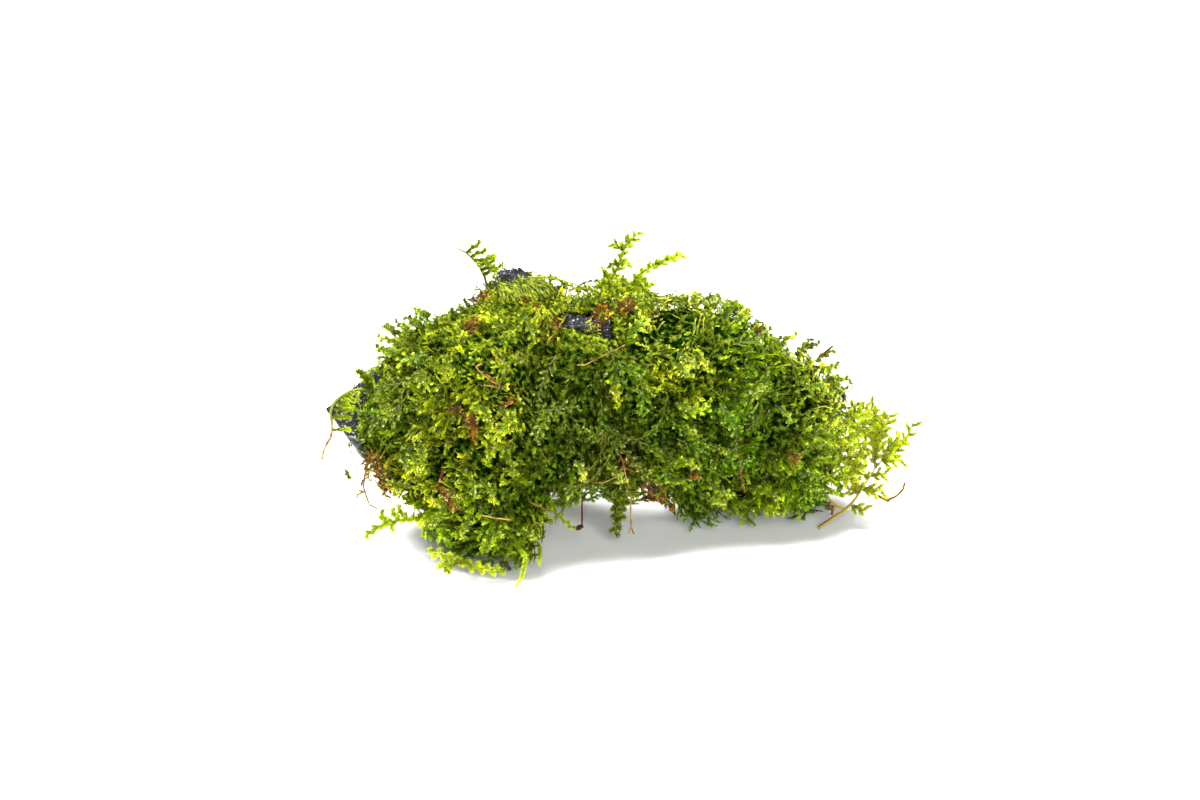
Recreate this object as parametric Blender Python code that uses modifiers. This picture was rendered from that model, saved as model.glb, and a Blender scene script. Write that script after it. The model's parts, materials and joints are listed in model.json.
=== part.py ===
"""Moss clump: a cushion of feather moss grown over a broken dark stone.

The cushion arches over a gap between a front foot and a right lobe. Single fronds, stems and
dead strands stand or hang free of it. Metres, +Z up, the front towards -Y.
"""

import math

import bmesh
import bpy
from mathutils import Matrix, Vector, noise

MM = 0.001

# The plane that faces a viewer in front of the clump. A place below is (across, up, depth) in
# mm: to the right and up from the plane's middle, and how far back it lies along +Y.
VIEW_RISE = math.radians(20)
VIEW_DISTANCE = 900
VIEW_MIDDLE = Vector((-3.7, 0, 29.1))
SEEN_ACROSS = Vector((1, 0, 0))
SEEN_UP = Vector((0, math.sin(VIEW_RISE), math.cos(VIEW_RISE)))
SEEN_NEARER = Vector((0, -math.cos(VIEW_RISE), math.sin(VIEW_RISE)))

# The cushion's surface
GRID = 3.0
SOFTENING_ROUNDS = 3
TUFT_SIZE = 9
TUFT_RELIEF = 4.5
TUFT_LEVEL = 0.25
SWELL_SIZE = 24
SWELL_RELIEF = 1.4
RELIEF_PLACE = Vector((3.7, 1.9, 8.2))

# Gaps between pieces that lie against each other
STONE_CLEARANCE = 0.7
FROND_CLEARANCE = 0.35

# The stone's surface
STONE_GRID = 6.5
STONE_RELIEF = 0.45
STONE_GRAIN = 6
STONE_CREASE = math.radians(25)

# Half thicknesses of the free strands, at the base, the middle and the tip
BARE = (0.4, 0.35, 0.25)
LEAFY = (0.45, 0.8, 0.3)
FULL = (0.5, 1.0, 0.45)
TUFT = (1.9, 1.3, 0.4)
HAIR = (0.22, 0.22, 0.2)
CAPSULE = (0.25, 0.6, 0.35)

# Rounded masses of the cushion: place, then (half width, half depth, half height)
MASSES = {
    "left body": ((-27, 1, -3), (19, 20, 16)),
    "left shoulder": ((-33.5, 7.2, 3), (10.5, 14, 9)),
    "left side": ((-37.5, -7.5, -4), (11, 13, 10.5)),
    "lower left": ((-37.6, -13.6, -6), (10, 10, 8)),
    "left ridge": ((-14, 10.4, 3), (17, 17, 14)),
    "crown": ((0, 7.4, 2), (18, 19, 15.5)),
    "right shoulder": ((20, 4.6, 5), (17, 18, 15.5)),
    "right middle": ((22, -5, 6), (17, 18, 17)),
    "right lobe": ((33, -6.6, 10), (17.4, 18, 18.6)),
    "right foot": ((21.5, -15, 9), (12, 12.5, 10.5)),
    "front foot, left": ((-26.6, -22, -16), (9.5, 11, 12.6)),
    "front foot, right": ((-18.6, -22, -17), (8.5, 11, 12.6)),
    "front bulge": ((-20, -10, -10), (16.5, 15, 14)),
    "front middle": ((-7, -6, -6), (14, 14, 14)),
    "bridge": ((5, -8, 0), (14, 17, 10.5)),
    "back foot": ((-21.5, -9.4, 17), (12, 13, 14)),
    "back": ((-16.5, 5, 16), (17, 12, 16)),
    "back left": ((-33.5, -1, 12), (12, 9, 13)),
}

# Places where the cushion is pressed in: place, reach each way, depth
HOLLOWS = {
    "cleft between the halves": ((1.8, -1, -15), (2.6, 7, 15), 2.4),
    "window on the stone": ((-3, 16.4, -12), (5.5, 5, 3.2), 3.2),
}

# The stone's broken faces: a place on each, and the way it faces as (across, up, nearer)
STONE_MIDDLE = (-26, 3, 3)
STONE_FACES = (
    ((-55.2, -1.8, 1), (-0.79, -0.61, 0.1)),
    ((-55.2, -1.8, 1), (-0.62, 0.78, 0.05)),
    ((-49, 3.6, 2), (-0.53, 0.85, 0.1)),
    ((-30, 14.6, 2), (-0.27, 0.96, 0.1)),
    ((-5, 17.4, 0), (0.2, 0.97, 0)),
    ((4, 14, 0), (0.96, 0.2, 0.2)),
    ((5, -2, 0), (0.85, -0.5, 0.1)),
    ((-10, -9.5, 0), (0.3, -0.95, 0)),
    ((-45, -12.6, 0), (-0.13, -0.99, 0)),
    ((-3.2, 15.4, -7.4), (-0.1, 0.5, 0.86)),
    ((-3.2, 14.2, -8), (-0.16, -0.3, 0.94)),
    ((-24, 0, -9.5), (-0.22, -0.5, 0.84)),
    ((-49.4, -9, -3.2), (-0.55, -0.55, 0.63)),
    ((-20, 5, 10), (-0.05, 0.4, -0.92)),
    ((-24, -6, 10), (0.1, -0.3, -0.95)),
    ((-50, 0, 6), (-0.6, 0.1, -0.79)),
    ((-44, -10, 7), (-0.2, -0.75, -0.63)),
    ((-47, 3, 6.5), (-0.4, 0.62, -0.67)),
)
KNOB_MIDDLE = (-17, 20, 5)
KNOB_FACES = (
    ((-20.9, 25, 5), (-0.94, 0.34, 0)),
    ((-18.6, 26.2, 5), (-0.15, 0.99, 0.05)),
    ((-14.4, 25.6, 5), (0.55, 0.84, 0.05)),
    ((-11.8, 22, 5), (0.93, 0.37, 0)),
    ((-17, 20, 0.5), (0, 0.2, 0.98)),
    ((-17, 20, 9.5), (0, 0.2, -0.98)),
    ((-17, 12, 5), (0, -1, 0)),
)
BLOCK = 140

# Free strands of each frond: how thick it is, then places from base to tip
FRONDS = {
    "frond_upper_left": (
        (BARE, (-22.3, 20.5, 2), (-22.6, 22.8, 3), (-23.2, 24.9, 3.5), (-24.1, 26.6, 4),
         (-25.6, 28.4, 4.5), (-27, 29.6, 5), (-28.6, 30.4, 5.5)),
        (LEAFY, (-26.8, 29.4, 5), (-25.2, 30.6, 4.8), (-23.9, 31.5, 4.6)),
        (LEAFY, (-25.9, 28.7, 4.6), (-24.3, 29.4, 4.2), (-22.8, 29.9, 4)),
        (LEAFY, (-24.9, 27.5, 4.3), (-22.8, 28, 3.6), (-20.9, 28.6, 3)),
        (LEAFY, (-24, 26.2, 4), (-21.8, 26.4, 3), (-19.8, 26.6, 2)),
    ),
    "frond_top_middle": (
        (BARE, (0.6, 19.5, 1), (1.4, 21.9, 1.5), (2.3, 24.4, 2), (3.5, 26.4, 2.5),
         (4.3, 28.6, 3), (4.9, 30.5, 3.5), (6, 31.8, 4), (7.7, 33.6, 4.5)),
        (LEAFY, (4.6, 29.8, 3.3), (3.6, 30.8, 3), (2.4, 31.3, 2.6)),
        (LEAFY, (3.7, 26.9, 2.6), (2.8, 27.3, 2), (1.7, 27.3, 1.5)),
        (LEAFY, (3.9, 27.5, 2.7), (4.9, 27.4, 3.6), (5.9, 27.5, 4.4)),
        (LEAFY, (2.2, 24.1, 2), (1.5, 24.7, 1.2), (0.6, 24.9, 0.4)),
        (LEAFY, (4.8, 30.3, 3.4), (5.7, 31.5, 3.9), (6.6, 32.5, 4.2)),
    ),
    "frond_top_right": (
        (BARE, (5.6, 19.5, 3), (6.3, 22.4, 4), (7.3, 24.6, 4.6), (9.2, 26.1, 5.2), (11.5, 27.2, 6)),
        (FULL, (10.2, 26.6, 5.6), (13.6, 28.1, 6.6), (16.5, 29.2, 7.4)),
        (LEAFY, (7.3, 24.6, 4.6), (8.8, 23.8, 5), (10.2, 22.7, 5.6)),
    ),
    "sprig_right": (
        (BARE, (43.8, -25.6, 2.6), (46.8, -23.5, 3.6), (49.2, -22.1, 4.4), (51.2, -19.7, 5.2),
         (52.4, -17.7, 6), (53.9, -15.6, 6.6), (55.2, -13.4, 7.2), (56.7, -11.8, 7.6)),
        (LEAFY, (56.2, -12.2, 7.5), (58.9, -10.2, 7.8), (60.8, -8.5, 8), (61.8, -6.6, 8.2),
         (62.5, -4.7, 8.4)),
        (LEAFY, (56.3, -12.1, 7.5), (58.6, -12.1, 7), (60.5, -12, 6.6)),
        (LEAFY, (58, -10.9, 7.7), (59, -9, 8.6), (60, -7.6, 9.4)),
        (LEAFY, (55, -13.7, 7.1), (55.1, -10.2, 6.4), (56.2, -7.2, 6), (57.7, -3.5, 5.8)),
        (LEAFY, (54.2, -15.2, 6.7), (55.8, -14.8, 6.2), (57.3, -14.8, 5.8)),
        (LEAFY, (51.6, -19, 5.5), (50.2, -14.6, 4.8), (48.6, -12, 4.6), (45.6, -9.6, 5)),
        (LEAFY, (52.6, -17.4, 6), (54.8, -18, 5), (56.7, -18.2, 4.4)),
        (BARE, (52.4, -17.8, 6), (55.6, -19.2, 7), (57.7, -20.2, 7.6), (59.4, -19.2, 8),
         (60.6, -17.9, 8.4), (61, -16.5, 8.6)),
        (LEAFY, (51.6, -18.8, 5.4), (50.4, -17.9, 4), (49.2, -17.6, 3)),
        (LEAFY, (50.2, -21, 4.7), (51.7, -21.6, 3.6), (53, -22.1, 2.8)),
        (BARE, (49.4, -22, 4.5), (46.8, -20.8, 5.6), (45.2, -18.9, 6.6), (43.6, -16.8, 8)),
    ),
    "sprig_right_upper": (
        (BARE, (45.6, -1.9, 7), (47.8, -2.2, 8.4), (49.8, -3.1, 9.6), (51.9, -5.3, 10.8),
         (54.1, -6.9, 11.6)),
        (LEAFY, (51.7, -5, 10.7), (53.2, -2.8, 11), (54.8, -1.2, 11.4)),
        (LEAFY, (49.8, -3.1, 9.6), (51, -1.4, 9.6), (51.6, -0.4, 9.6)),
        (LEAFY, (53.8, -6.7, 11.5), (55.2, -4.6, 12.2), (55.7, -3, 12.6)),
    ),
    "frond_lower_left": (
        (BARE, (-33.4, -22.9, -14), (-35.8, -23.5, -14.6), (-38.1, -23.9, -15.2),
         (-40.5, -24.1, -15.8), (-42.8, -24.7, -16.4)),
        (LEAFY, (-42.3, -24.6, -16.2), (-45, -25.8, -17), (-46.9, -27.2, -17.8)),
        (LEAFY, (-42.6, -24.7, -16.3), (-43.4, -23.3, -16), (-43.9, -22.3, -15.8)),
        (LEAFY, (-40.3, -24.1, -15.8), (-41.2, -22.7, -15.2), (-41.7, -21.9, -15)),
        (LEAFY, (-38.8, -24, -15.4), (-40, -22.2, -14.4), (-40.5, -21, -14)),
        (LEAFY, (-41, -24.2, -16), (-41.5, -25, -16.6), (-41.9, -25.8, -17)),
    ),
    "frond_foot_left": (
        (LEAFY, (-26.2, -32.6, -21), (-28.6, -32.2, -24.5), (-31, -31, -25), (-34, -30.5, -24)),
        (LEAFY, (-27.9, -32.3, -23.8), (-25.6, -33.2, -25.2), (-22.6, -33.8, -25.6),
         (-19.6, -33.8, -25.4)),
        (LEAFY, (-28.4, -32.3, -24.3), (-30, -33, -24.8), (-32.2, -32.8, -24.6)),
    ),
    "frond_foot_hanging": (
        (LEAFY, (-17.6, -26.6, -24), (-16.2, -29.6, -27), (-14.9, -31.4, -28), (-15.2, -33.9, -29.4),
         (-15.8, -35.7, -30.4), (-16.7, -37.2, -31)),
    ),
    "frond_foot_right": (
        (LEAFY, (-13.4, -27.4, -17), (-12.1, -29, -19.6), (-12, -31, -20.6), (-12.2, -33, -21.4)),
    ),
    "frond_arch_left": (
        (LEAFY, (-11, -20.6, -9), (-9, -22.4, -11.4), (-7, -24.2, -12.4), (-5.2, -25.8, -13)),
    ),
    "tuft_under_arch": (
        (TUFT, (3.8, -15.5, -6), (3.8, -19, -6), (3.7, -22, -6), (3.7, -24.6, -6), (3, -26.7, -6)),
    ),
    "fibre_under_arch": (
        (HAIR, (5.4, -16.4, -12), (6.2, -19.3, -11.6), (6.1, -22.6, -11.2), (6.2, -25.4, -11),
         (6.8, -26.8, -11)),
    ),
    "spore_stalk": (
        (HAIR, (-3.6, -18, -9), (-3.6, -21.6, -9.5), (-3.6, -25.2, -9.5)),
        (CAPSULE, (-3.4, -25.2, -9.5), (-4.2, -25.5, -9.3), (-4.9, -25.8, -9.1)),
    ),
    "frond_stone_tip": (
        (BARE, (-47.6, 2.2, -6), (-49.9, 1.9, -6), (-52.2, 0.5, -5.4), (-53.5, -0.9, -5),
         (-53.9, -2.4, -4.6), (-53.7, -4.3, -4.6), (-53.6, -6.2, -4.8), (-53.9, -7.6, -4.6),
         (-54.8, -9, -4.2), (-55.3, -10.4, -4), (-55.6, -12, -3.8)),
        (LEAFY, (-53.7, -5.8, -4.8), (-52.1, -6.1, -6), (-50, -5.7, -7)),
        (LEAFY, (-53.8, -3.4, -4.6), (-51.6, -3.4, -6.2), (-49.8, -3.5, -7.2)),
        (LEAFY, (-52.8, -0.3, -5.3), (-51, -1.2, -6.6), (-49.2, -1.4, -7.4)),
    ),
    "dead_strand_left": (
        (BARE, (-45.4, -10, -5), (-46.7, -12.6, -6), (-46.9, -14.7, -6.4), (-47.6, -16.9, -6.4),
         (-47, -18.4, -6.4), (-46.6, -20.1, -6.4), (-46, -21.3, -6.4), (-44.5, -21.8, -6.2)),
    ),
}

# Colour and roughness of what isn't a fresh green shoot
MOSS_FINISH = ((0.16, 0.25, 0.02), 0.6)
STONE_FINISH = ((0.035, 0.034, 0.036), 0.75)
SHOOT_FINISH = ((0.36, 0.5, 0.03), 0.55)
DRY_FINISHES = {
    "dead_strand_left": ((0.25, 0.11, 0.03), 0.8),
    "fibre_under_arch": ((0.5, 0.36, 0.14), 0.7),
    "spore_stalk": ((0.1, 0.02, 0.015), 0.4),
    "tuft_under_arch": ((0.12, 0.14, 0.02), 0.7),
}


def cleared_scene():
    for obj in list(bpy.data.objects):
        bpy.data.objects.remove(obj)
    parts = bpy.data.collections.new("Moss clump")
    helpers = bpy.data.collections.new("Helpers")
    for collection in (parts, helpers):
        bpy.context.scene.collection.children.link(collection)
    return parts, helpers


def placed(across, up, depth):
    """The point in metres that a viewer sees at (across, up), at that depth."""
    eye = VIEW_MIDDLE + VIEW_DISTANCE * SEEN_NEARER
    ray = VIEW_MIDDLE + across * SEEN_ACROSS + up * SEEN_UP - eye
    return (eye + ray * ((depth - eye.y) / ray.y)) * MM


def facing(across, up, nearer):
    return (across * SEEN_ACROSS + up * SEEN_UP + nearer * SEEN_NEARER).normalized()


def part_of(mesh, name, colour, roughness):
    """A piece of the clump, with a material of its own."""
    material = bpy.data.materials.new(name)
    material.use_nodes = True
    shader = material.node_tree.nodes["Principled BSDF"]
    shader.inputs["Base Color"].default_value = (*colour, 1)
    shader.inputs["Roughness"].default_value = roughness
    shader.inputs["Metallic"].default_value = 0
    mesh.name = name
    mesh.materials.clear()
    mesh.materials.append(material)
    obj = bpy.data.objects.new(name, mesh)
    PARTS.objects.link(obj)
    return obj


def helper_of(mesh, name):
    mesh.name = name
    helper = bpy.data.objects.new(name, mesh)
    HELPERS.objects.link(helper)
    helper.hide_render = True
    helper.display_type = "WIRE"
    return helper


def mesh_of(bm, name):
    mesh = bpy.data.meshes.new(name)
    bm.to_mesh(mesh)
    bm.free()
    return mesh


def evaluated(obj):
    """The object's mesh with its modifiers, as a mesh of its own."""
    bpy.context.view_layer.update()
    graph = bpy.context.evaluated_depsgraph_get()
    return bpy.data.meshes.new_from_object(obj.evaluated_get(graph))


def boolean(obj, operation, cutter):
    modifier = obj.modifiers.new(operation.title(), "BOOLEAN")
    modifier.operation = operation
    modifier.solver = "EXACT"
    modifier.object = cutter


def applied(obj):
    mesh = evaluated(obj)
    mesh.name = obj.name
    obj.modifiers.clear()
    obj.data = mesh
    return obj


def moved_out(mesh, distance):
    """Moves each vertex along its normal, by distance(place in mm) in mm."""
    bm = bmesh.new()
    bm.from_mesh(mesh)
    bm.normal_update()
    moves = [vertex.normal * distance(vertex.co / MM) * MM for vertex in bm.verts]
    for vertex, move in zip(bm.verts, moves):
        vertex.co += move
    bm.to_mesh(mesh)
    bm.free()
    return mesh


def tufts(point):
    """Relief of the cushion: rounded tufts with creases between, a slow swell, and the hollows."""
    nearest = noise.voronoi(point / TUFT_SIZE + RELIEF_PLACE)[0][0]
    relief = TUFT_RELIEF * (TUFT_LEVEL - nearest * nearest)
    relief += SWELL_RELIEF * noise.noise(point / SWELL_SIZE + RELIEF_PLACE)
    for place, reach, depth in HOLLOWS.values():
        away = point - placed(*place) / MM
        away = Vector(part / length for part, length in zip(away, reach))
        relief -= depth * math.exp(-away.length_squared)
    return relief


def fractures(point):
    """Relief of the stone, which never stands out past its flat faces."""
    return STONE_RELIEF * (noise.noise(point / STONE_GRAIN) - 0.5)


def split_block(middle, faces, clearance):
    """A block split along the faces, each moved out by the clearance."""
    bm = bmesh.new()
    bmesh.ops.create_cube(bm, size=BLOCK * MM, matrix=Matrix.Translation(placed(*middle)))
    for place, way in faces:
        outward = facing(*way)
        cut = bmesh.ops.bisect_plane(
            bm,
            geom=bm.verts[:] + bm.edges[:] + bm.faces[:],
            plane_co=placed(*place) + outward * clearance * MM,
            plane_no=outward,
            clear_outer=True,
        )
        rim = [item for item in cut["geom_cut"] if isinstance(item, bmesh.types.BMEdge)]
        bmesh.ops.edgenet_fill(bm, edges=rim)
    bmesh.ops.recalc_face_normals(bm, faces=bm.faces)
    return mesh_of(bm, "split block")


def refined(mesh, longest):
    """Splits edges until none is longer, which leaves the flat faces flat."""
    bm = bmesh.new()
    bm.from_mesh(mesh)
    bmesh.ops.triangulate(bm, faces=bm.faces)
    long = bm.edges[:]
    while long:
        long = [edge for edge in bm.edges if edge.calc_length() > longest * MM]
        bmesh.ops.subdivide_edges(bm, edges=long, cuts=1)
        bmesh.ops.triangulate(bm, faces=bm.faces)
    bm.to_mesh(mesh)
    bm.free()
    return mesh


def build_stone():
    stone = part_of(split_block(STONE_MIDDLE, STONE_FACES, 0), "stone", *STONE_FINISH)
    boolean(stone, "UNION", helper_of(split_block(KNOB_MIDDLE, KNOB_FACES, 0), "knob"))
    applied(stone)
    moved_out(refined(stone.data, STONE_GRID), fractures)
    stone.data.shade_smooth()
    stone.data.set_sharp_from_angle(angle=STONE_CREASE)
    return stone


def floor_block():
    bm = bmesh.new()
    matrix = Matrix.Translation((0, 0, -BLOCK / 2 * MM))
    bmesh.ops.create_cube(bm, size=BLOCK * MM, matrix=matrix)
    return mesh_of(bm, "floor")


def build_cushion():
    """The masses made one surface, with tufts, pads where it rests and room for the stone."""
    bm = bmesh.new()
    for place, radii in MASSES.values():
        matrix = Matrix.Translation(placed(*place)) @ Matrix.Diagonal((*(Vector(radii) * MM), 1))
        bmesh.ops.create_icosphere(bm, subdivisions=4, radius=1, matrix=matrix)
    masses = helper_of(mesh_of(bm, "masses"), "masses")
    grid = masses.modifiers.new("Even grid", "REMESH")
    grid.mode = "VOXEL"
    grid.voxel_size = GRID * MM
    smooth = masses.modifiers.new("Soft joins", "SMOOTH")
    smooth.iterations = SOFTENING_ROUNDS
    cushion = part_of(moved_out(evaluated(masses), tufts), "moss_cushion", *MOSS_FINISH)
    boolean(cushion, "DIFFERENCE", helper_of(floor_block(), "floor"))
    for middle, faces in ((STONE_MIDDLE, STONE_FACES), (KNOB_MIDDLE, KNOB_FACES)):
        room = split_block(middle, faces, STONE_CLEARANCE)
        boolean(cushion, "DIFFERENCE", helper_of(room, "room for the stone"))
    applied(cushion).data.shade_smooth()
    return cushion


def strand(thickness, *places):
    """A tapering tube through the places, as a closed mesh."""
    curve = bpy.data.curves.new("strand", "CURVE")
    curve.dimensions = "3D"
    curve.bevel_depth = MM
    curve.bevel_resolution = 1
    curve.use_fill_caps = True
    line = curve.splines.new("POLY")
    line.points.add(len(places) - 1)
    base, middle, tip = thickness
    for index, (point, place) in enumerate(zip(line.points, places)):
        along = 2 * index / (len(places) - 1)
        point.co = (*placed(*place), 1)
        if along < 1:
            point.radius = base + (middle - base) * along
        else:
            point.radius = middle + (tip - middle) * (along - 1)
    tube = bpy.data.objects.new("strand", curve)
    HELPERS.objects.link(tube)
    mesh = evaluated(tube)
    bpy.data.objects.remove(tube)
    bm = bmesh.new()
    bm.from_mesh(mesh)
    bmesh.ops.remove_doubles(bm, verts=bm.verts, dist=0.01 * MM)
    bmesh.ops.recalc_face_normals(bm, faces=bm.faces)
    bm.to_mesh(mesh)
    bm.free()
    return mesh


def body_round(start):
    """The vertices joined to the start by edges."""
    found = {start}
    reached = [start]
    while reached:
        vertex = reached.pop()
        for other in (edge.other_vert(vertex) for edge in vertex.link_edges):
            if other not in found:
                found.add(other)
                reached.append(other)
    return found


def keep_largest_body(mesh):
    """Drops what a cut left loose."""
    bm = bmesh.new()
    bm.from_mesh(mesh)
    bodies = []
    waiting = set(bm.verts)
    while waiting:
        bodies.append(body_round(waiting.pop()))
        waiting -= bodies[-1]
    kept = max(bodies, key=len)
    loose = [vertex for vertex in bm.verts if vertex not in kept]
    bmesh.ops.delete(bm, geom=loose, context="VERTS")
    bm.to_mesh(mesh)
    bm.free()


def build_frond(name, strands, neighbours):
    """The strands joined in one, cut clear of what they grow from."""
    first, *others = [strand(*description) for description in strands]
    frond = part_of(first, name, *DRY_FINISHES.get(name, SHOOT_FINISH))
    for mesh in others:
        boolean(frond, "UNION", helper_of(mesh, f"{name} strand"))
    for neighbour in neighbours:
        boolean(frond, "DIFFERENCE", neighbour)
    applied(frond)
    keep_largest_body(frond.data)
    frond.data.shade_smooth()


def build_fronds(cushion, stone):
    neighbours = []
    for body in (cushion, stone):
        grown = moved_out(body.data.copy(), lambda point: FROND_CLEARANCE)
        neighbours.append(helper_of(grown, f"round the {body.name}"))
    for name, strands in FRONDS.items():
        build_frond(name, strands, neighbours)


PARTS, HELPERS = cleared_scene()
build_fronds(build_cushion(), build_stone())
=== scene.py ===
"""Looks of a moss clump: leafy shoots over a dark mat, a granular stone, fronds and dead strands."""

import json
import math
import random

import bmesh
import bpy
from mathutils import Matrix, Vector, noise
from mathutils.bvhtree import BVHTree

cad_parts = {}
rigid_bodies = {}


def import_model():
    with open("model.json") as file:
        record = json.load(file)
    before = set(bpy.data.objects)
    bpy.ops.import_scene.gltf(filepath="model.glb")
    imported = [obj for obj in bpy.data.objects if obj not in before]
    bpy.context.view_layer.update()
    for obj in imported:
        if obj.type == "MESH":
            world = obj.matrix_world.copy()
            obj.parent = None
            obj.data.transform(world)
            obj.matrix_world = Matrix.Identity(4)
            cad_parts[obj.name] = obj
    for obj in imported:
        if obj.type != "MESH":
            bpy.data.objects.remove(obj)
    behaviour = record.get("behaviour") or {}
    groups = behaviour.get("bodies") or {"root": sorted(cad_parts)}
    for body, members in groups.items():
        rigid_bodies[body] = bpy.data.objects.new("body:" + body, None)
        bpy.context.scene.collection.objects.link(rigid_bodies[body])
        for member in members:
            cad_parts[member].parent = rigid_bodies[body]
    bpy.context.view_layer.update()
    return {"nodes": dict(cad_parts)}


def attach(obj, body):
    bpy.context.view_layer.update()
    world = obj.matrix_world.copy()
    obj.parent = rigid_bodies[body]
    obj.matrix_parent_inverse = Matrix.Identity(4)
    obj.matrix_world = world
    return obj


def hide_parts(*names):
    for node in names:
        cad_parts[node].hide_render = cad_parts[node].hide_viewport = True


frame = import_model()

bl_info = {
    "name": "Moss clump",
    "version": (1, 0, 0),
    "blender": (4, 5, 0),
    "location": "3D View > Sidebar > Moss",
    "description": "Grows feather moss, fronds and fibres over a broken stone",
    "category": "Add Mesh",
}

MM = 0.001
BODY = "root"

# Corners of a CAD mesh that are nearer to each other than this are one corner
SAME_CORNER = 0.001 * MM

# A point inside the cushion, from which its shoots spread outwards, and how far from it in mm
# is outside the clump on every side
CUSHION_MIDDLE = Vector((-2, 4, 24)) * MM
FAR_OUT = 200

# How broad in mm the hollows, the patches of thready shoots and those of fresher green are
HOLLOW_SIZE = 3.5
THREADY_SIZE = 11
GREEN_SIZE = 14

# How far shoots are raised where they creep over the stone, beside 0 in deep moss and 1 where
# the stone is close
RAISED_ON_STONE = 1.3

# The growth of the shoots: the most of them on a square metre, how loosely they point, the
# lowest that a leaf may reach in mm, and the scales to a metre at which neighbours are combed
# alike and clusters are bright or dark
MOST_SHOOTS = 2.5e6
LOOSENESS = 0.35
LOWEST_LEAF = 0.2
COMB_SCALE = 150
CLUSTER_SCALE = 260

# Stretches of the cushion from left to right, in mm, which keep each piece's mesh small
ZONES = {
    "moss_far_left": (-80, -34),
    "moss_left": (-34, -22),
    "moss_left_middle": (-22, -8),
    "moss_middle": (-8, 8),
    "moss_right_middle": (8, 26),
    "moss_right": (26, 80),
}

# What only the moss group reads of a surface that moss grows on
HELPERS = ("growth", "raised", "upright", "outward", "lean", "thready")

# The plane that faces the camera. A place below is (across, up, depth) in mm: to the right and
# up from the plane's middle, and how far back it lies along +Y.
VIEW_RISE = math.radians(20)
VIEW_DISTANCE = 900
VIEW_MIDDLE = Vector((-3.7, 0, 29.1))
SEEN_ACROSS = Vector((1, 0, 0))
SEEN_UP = Vector((0, math.sin(VIEW_RISE), math.cos(VIEW_RISE)))
SEEN_NEARER = Vector((0, -math.cos(VIEW_RISE), math.sin(VIEW_RISE)))
EYE = (VIEW_MIDDLE + VIEW_DISTANCE * SEEN_NEARER) * MM

# Past the surface's edge, a place is drawn to the plane's middle in steps, each this share
EDGE_STEPS = 40
EDGE_STEP = 0.02


def placed(across, up, depth):
    """The point in metres that the camera sees at (across, up), at that depth."""
    ray = VIEW_MIDDLE + across * SEEN_ACROSS + up * SEEN_UP - EYE / MM
    return EYE + ray * ((depth - EYE.y / MM) / ray.y) * MM


# Greens and browns, as linear colours of the leaves themselves
GREENS = {
    "fresh": (0.38, 0.52, 0.008),
    "yellow": (0.68, 0.76, 0.02),
    "lime": (0.50, 0.64, 0.03),
    "leaf": (0.16, 0.33, 0.006),
    "deep": (0.035, 0.14, 0.003),
    "olive": (0.76, 0.88, 0.12),
    "dim": (0.07, 0.11, 0.01),
    "dull": (0.10, 0.12, 0.014),
    "brown": (0.16, 0.075, 0.014),
    "rust": (0.34, 0.13, 0.02),
    "straw": (0.42, 0.26, 0.05),
}

# Patches of the cushion: the middle as (across, up), how far it reaches, its green, its weight
# over that of the common green
BASE_WEIGHT = 0.35
PATCHES = {
    "left side": ((-42, -2), 9, "dim", 1.8),
    "left side, low": ((-38, -14), 7, "yellow", 1.4),
    "upper left": ((-30, 12), 9, "yellow", 1),
    "top": ((-7, 19), 8, "yellow", 5),
    # The middle, the part under the window and the crease are darker partly as painted shade: the
    # crease is a shaded fold and under the window a shaded hollow; the middle is also deep green of
    # its own.
    "middle": ((-7, 2), 8, "dim", 3),
    "under the window": ((-2, 9), 5, "deep", 1.5),
    "crease": ((2, 0), 6, "deep", 3),
    "right shoulder": ((14, 15), 7, "olive", 4),
    "right of the window": ((18, 6), 6, "yellow", 2),
    "right middle": ((30, 4), 8, "leaf", 1.0),
    "right lobe": ((25, -8), 9, "deep", 0.8),
    "right edge": ((46, 0), 7, "olive", 1.0),
    "lobe bottom": ((28, -21), 6, "fresh", 0.8),
    "front bulge": ((-24, -5), 8, "yellow", 4),
    "middle low": ((-14, -9), 7, "deep", 1.2),
    "foot": ((-24, -24), 8, "fresh", 0.8),
    "bridge": ((4, -15), 5, "dull", 4),
}

# Small spots of dead brown moss, in the same way
SPOTS = {
    "by the window": ((-1.2, 17.8), 1.6, "rust", 2),
    "left of the window": ((-8.2, 15.6), 1.2, "rust", 2),
    "shoulder": ((-24.4, 15.6), 1.6, "rust", 2),
    "knob foot": ((-23.6, 21), 1.6, "brown", 2),
    "right of the fronds": ((5.6, 19.2), 1.8, "brown", 2),
    "middle left": ((-27, -3), 1.6, "brown", 4),
    "bridge end": ((12, -19), 1.8, "rust", 4),
    "foot side": ((-31.4, -18), 1.5, "brown", 4),
    "left edge": ((-47.5, -11), 2.4, "brown", 4),
    "left edge, low": ((-44.5, -15), 2.0, "rust", 3),
    "crown gap": ((-15, 0.4), 1.0, "rust", 3),
}

# Where the shoots are thin and thread-like: the middle as (across, up), and how far they reach
THREADY = {
    "right shoulder": ((14, 15), 8),
    "crown": ((-11, 2), 6),
    "right edge": ((43, -4), 6),
    "mound by the knob": ((-16, 22), 4),
    "lower middle": ((-2, -8), 4),
}

# Outlines of the stone's bare places, as the camera sees them: the window, the tip, the knob
BARE_STONE = (
    ((-8.4, 13.8), (-6.8, 15.6), (-5, 17.2), (-2, 18.4), (0.4, 18.8), (1.6, 18), (0, 16.8),
     (-2, 15.8), (-2.6, 13.4), (-4.2, 13), (-5.4, 14.4), (-6.6, 12), (-7.8, 12.2)),
    ((-58, 1), (-51, 6.5), (-46, 8.2), (-46.4, 5.2), (-49.2, 3), (-49.4, -2), (-48.4, -5.6),
     (-46.4, -7.6), (-45, -10), (-45.6, -12.4), (-48, -14), (-54, -8)),
    ((-22, 28), (-12, 28), (-12, 24.6), (-21.6, 24.6)),
)

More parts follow.
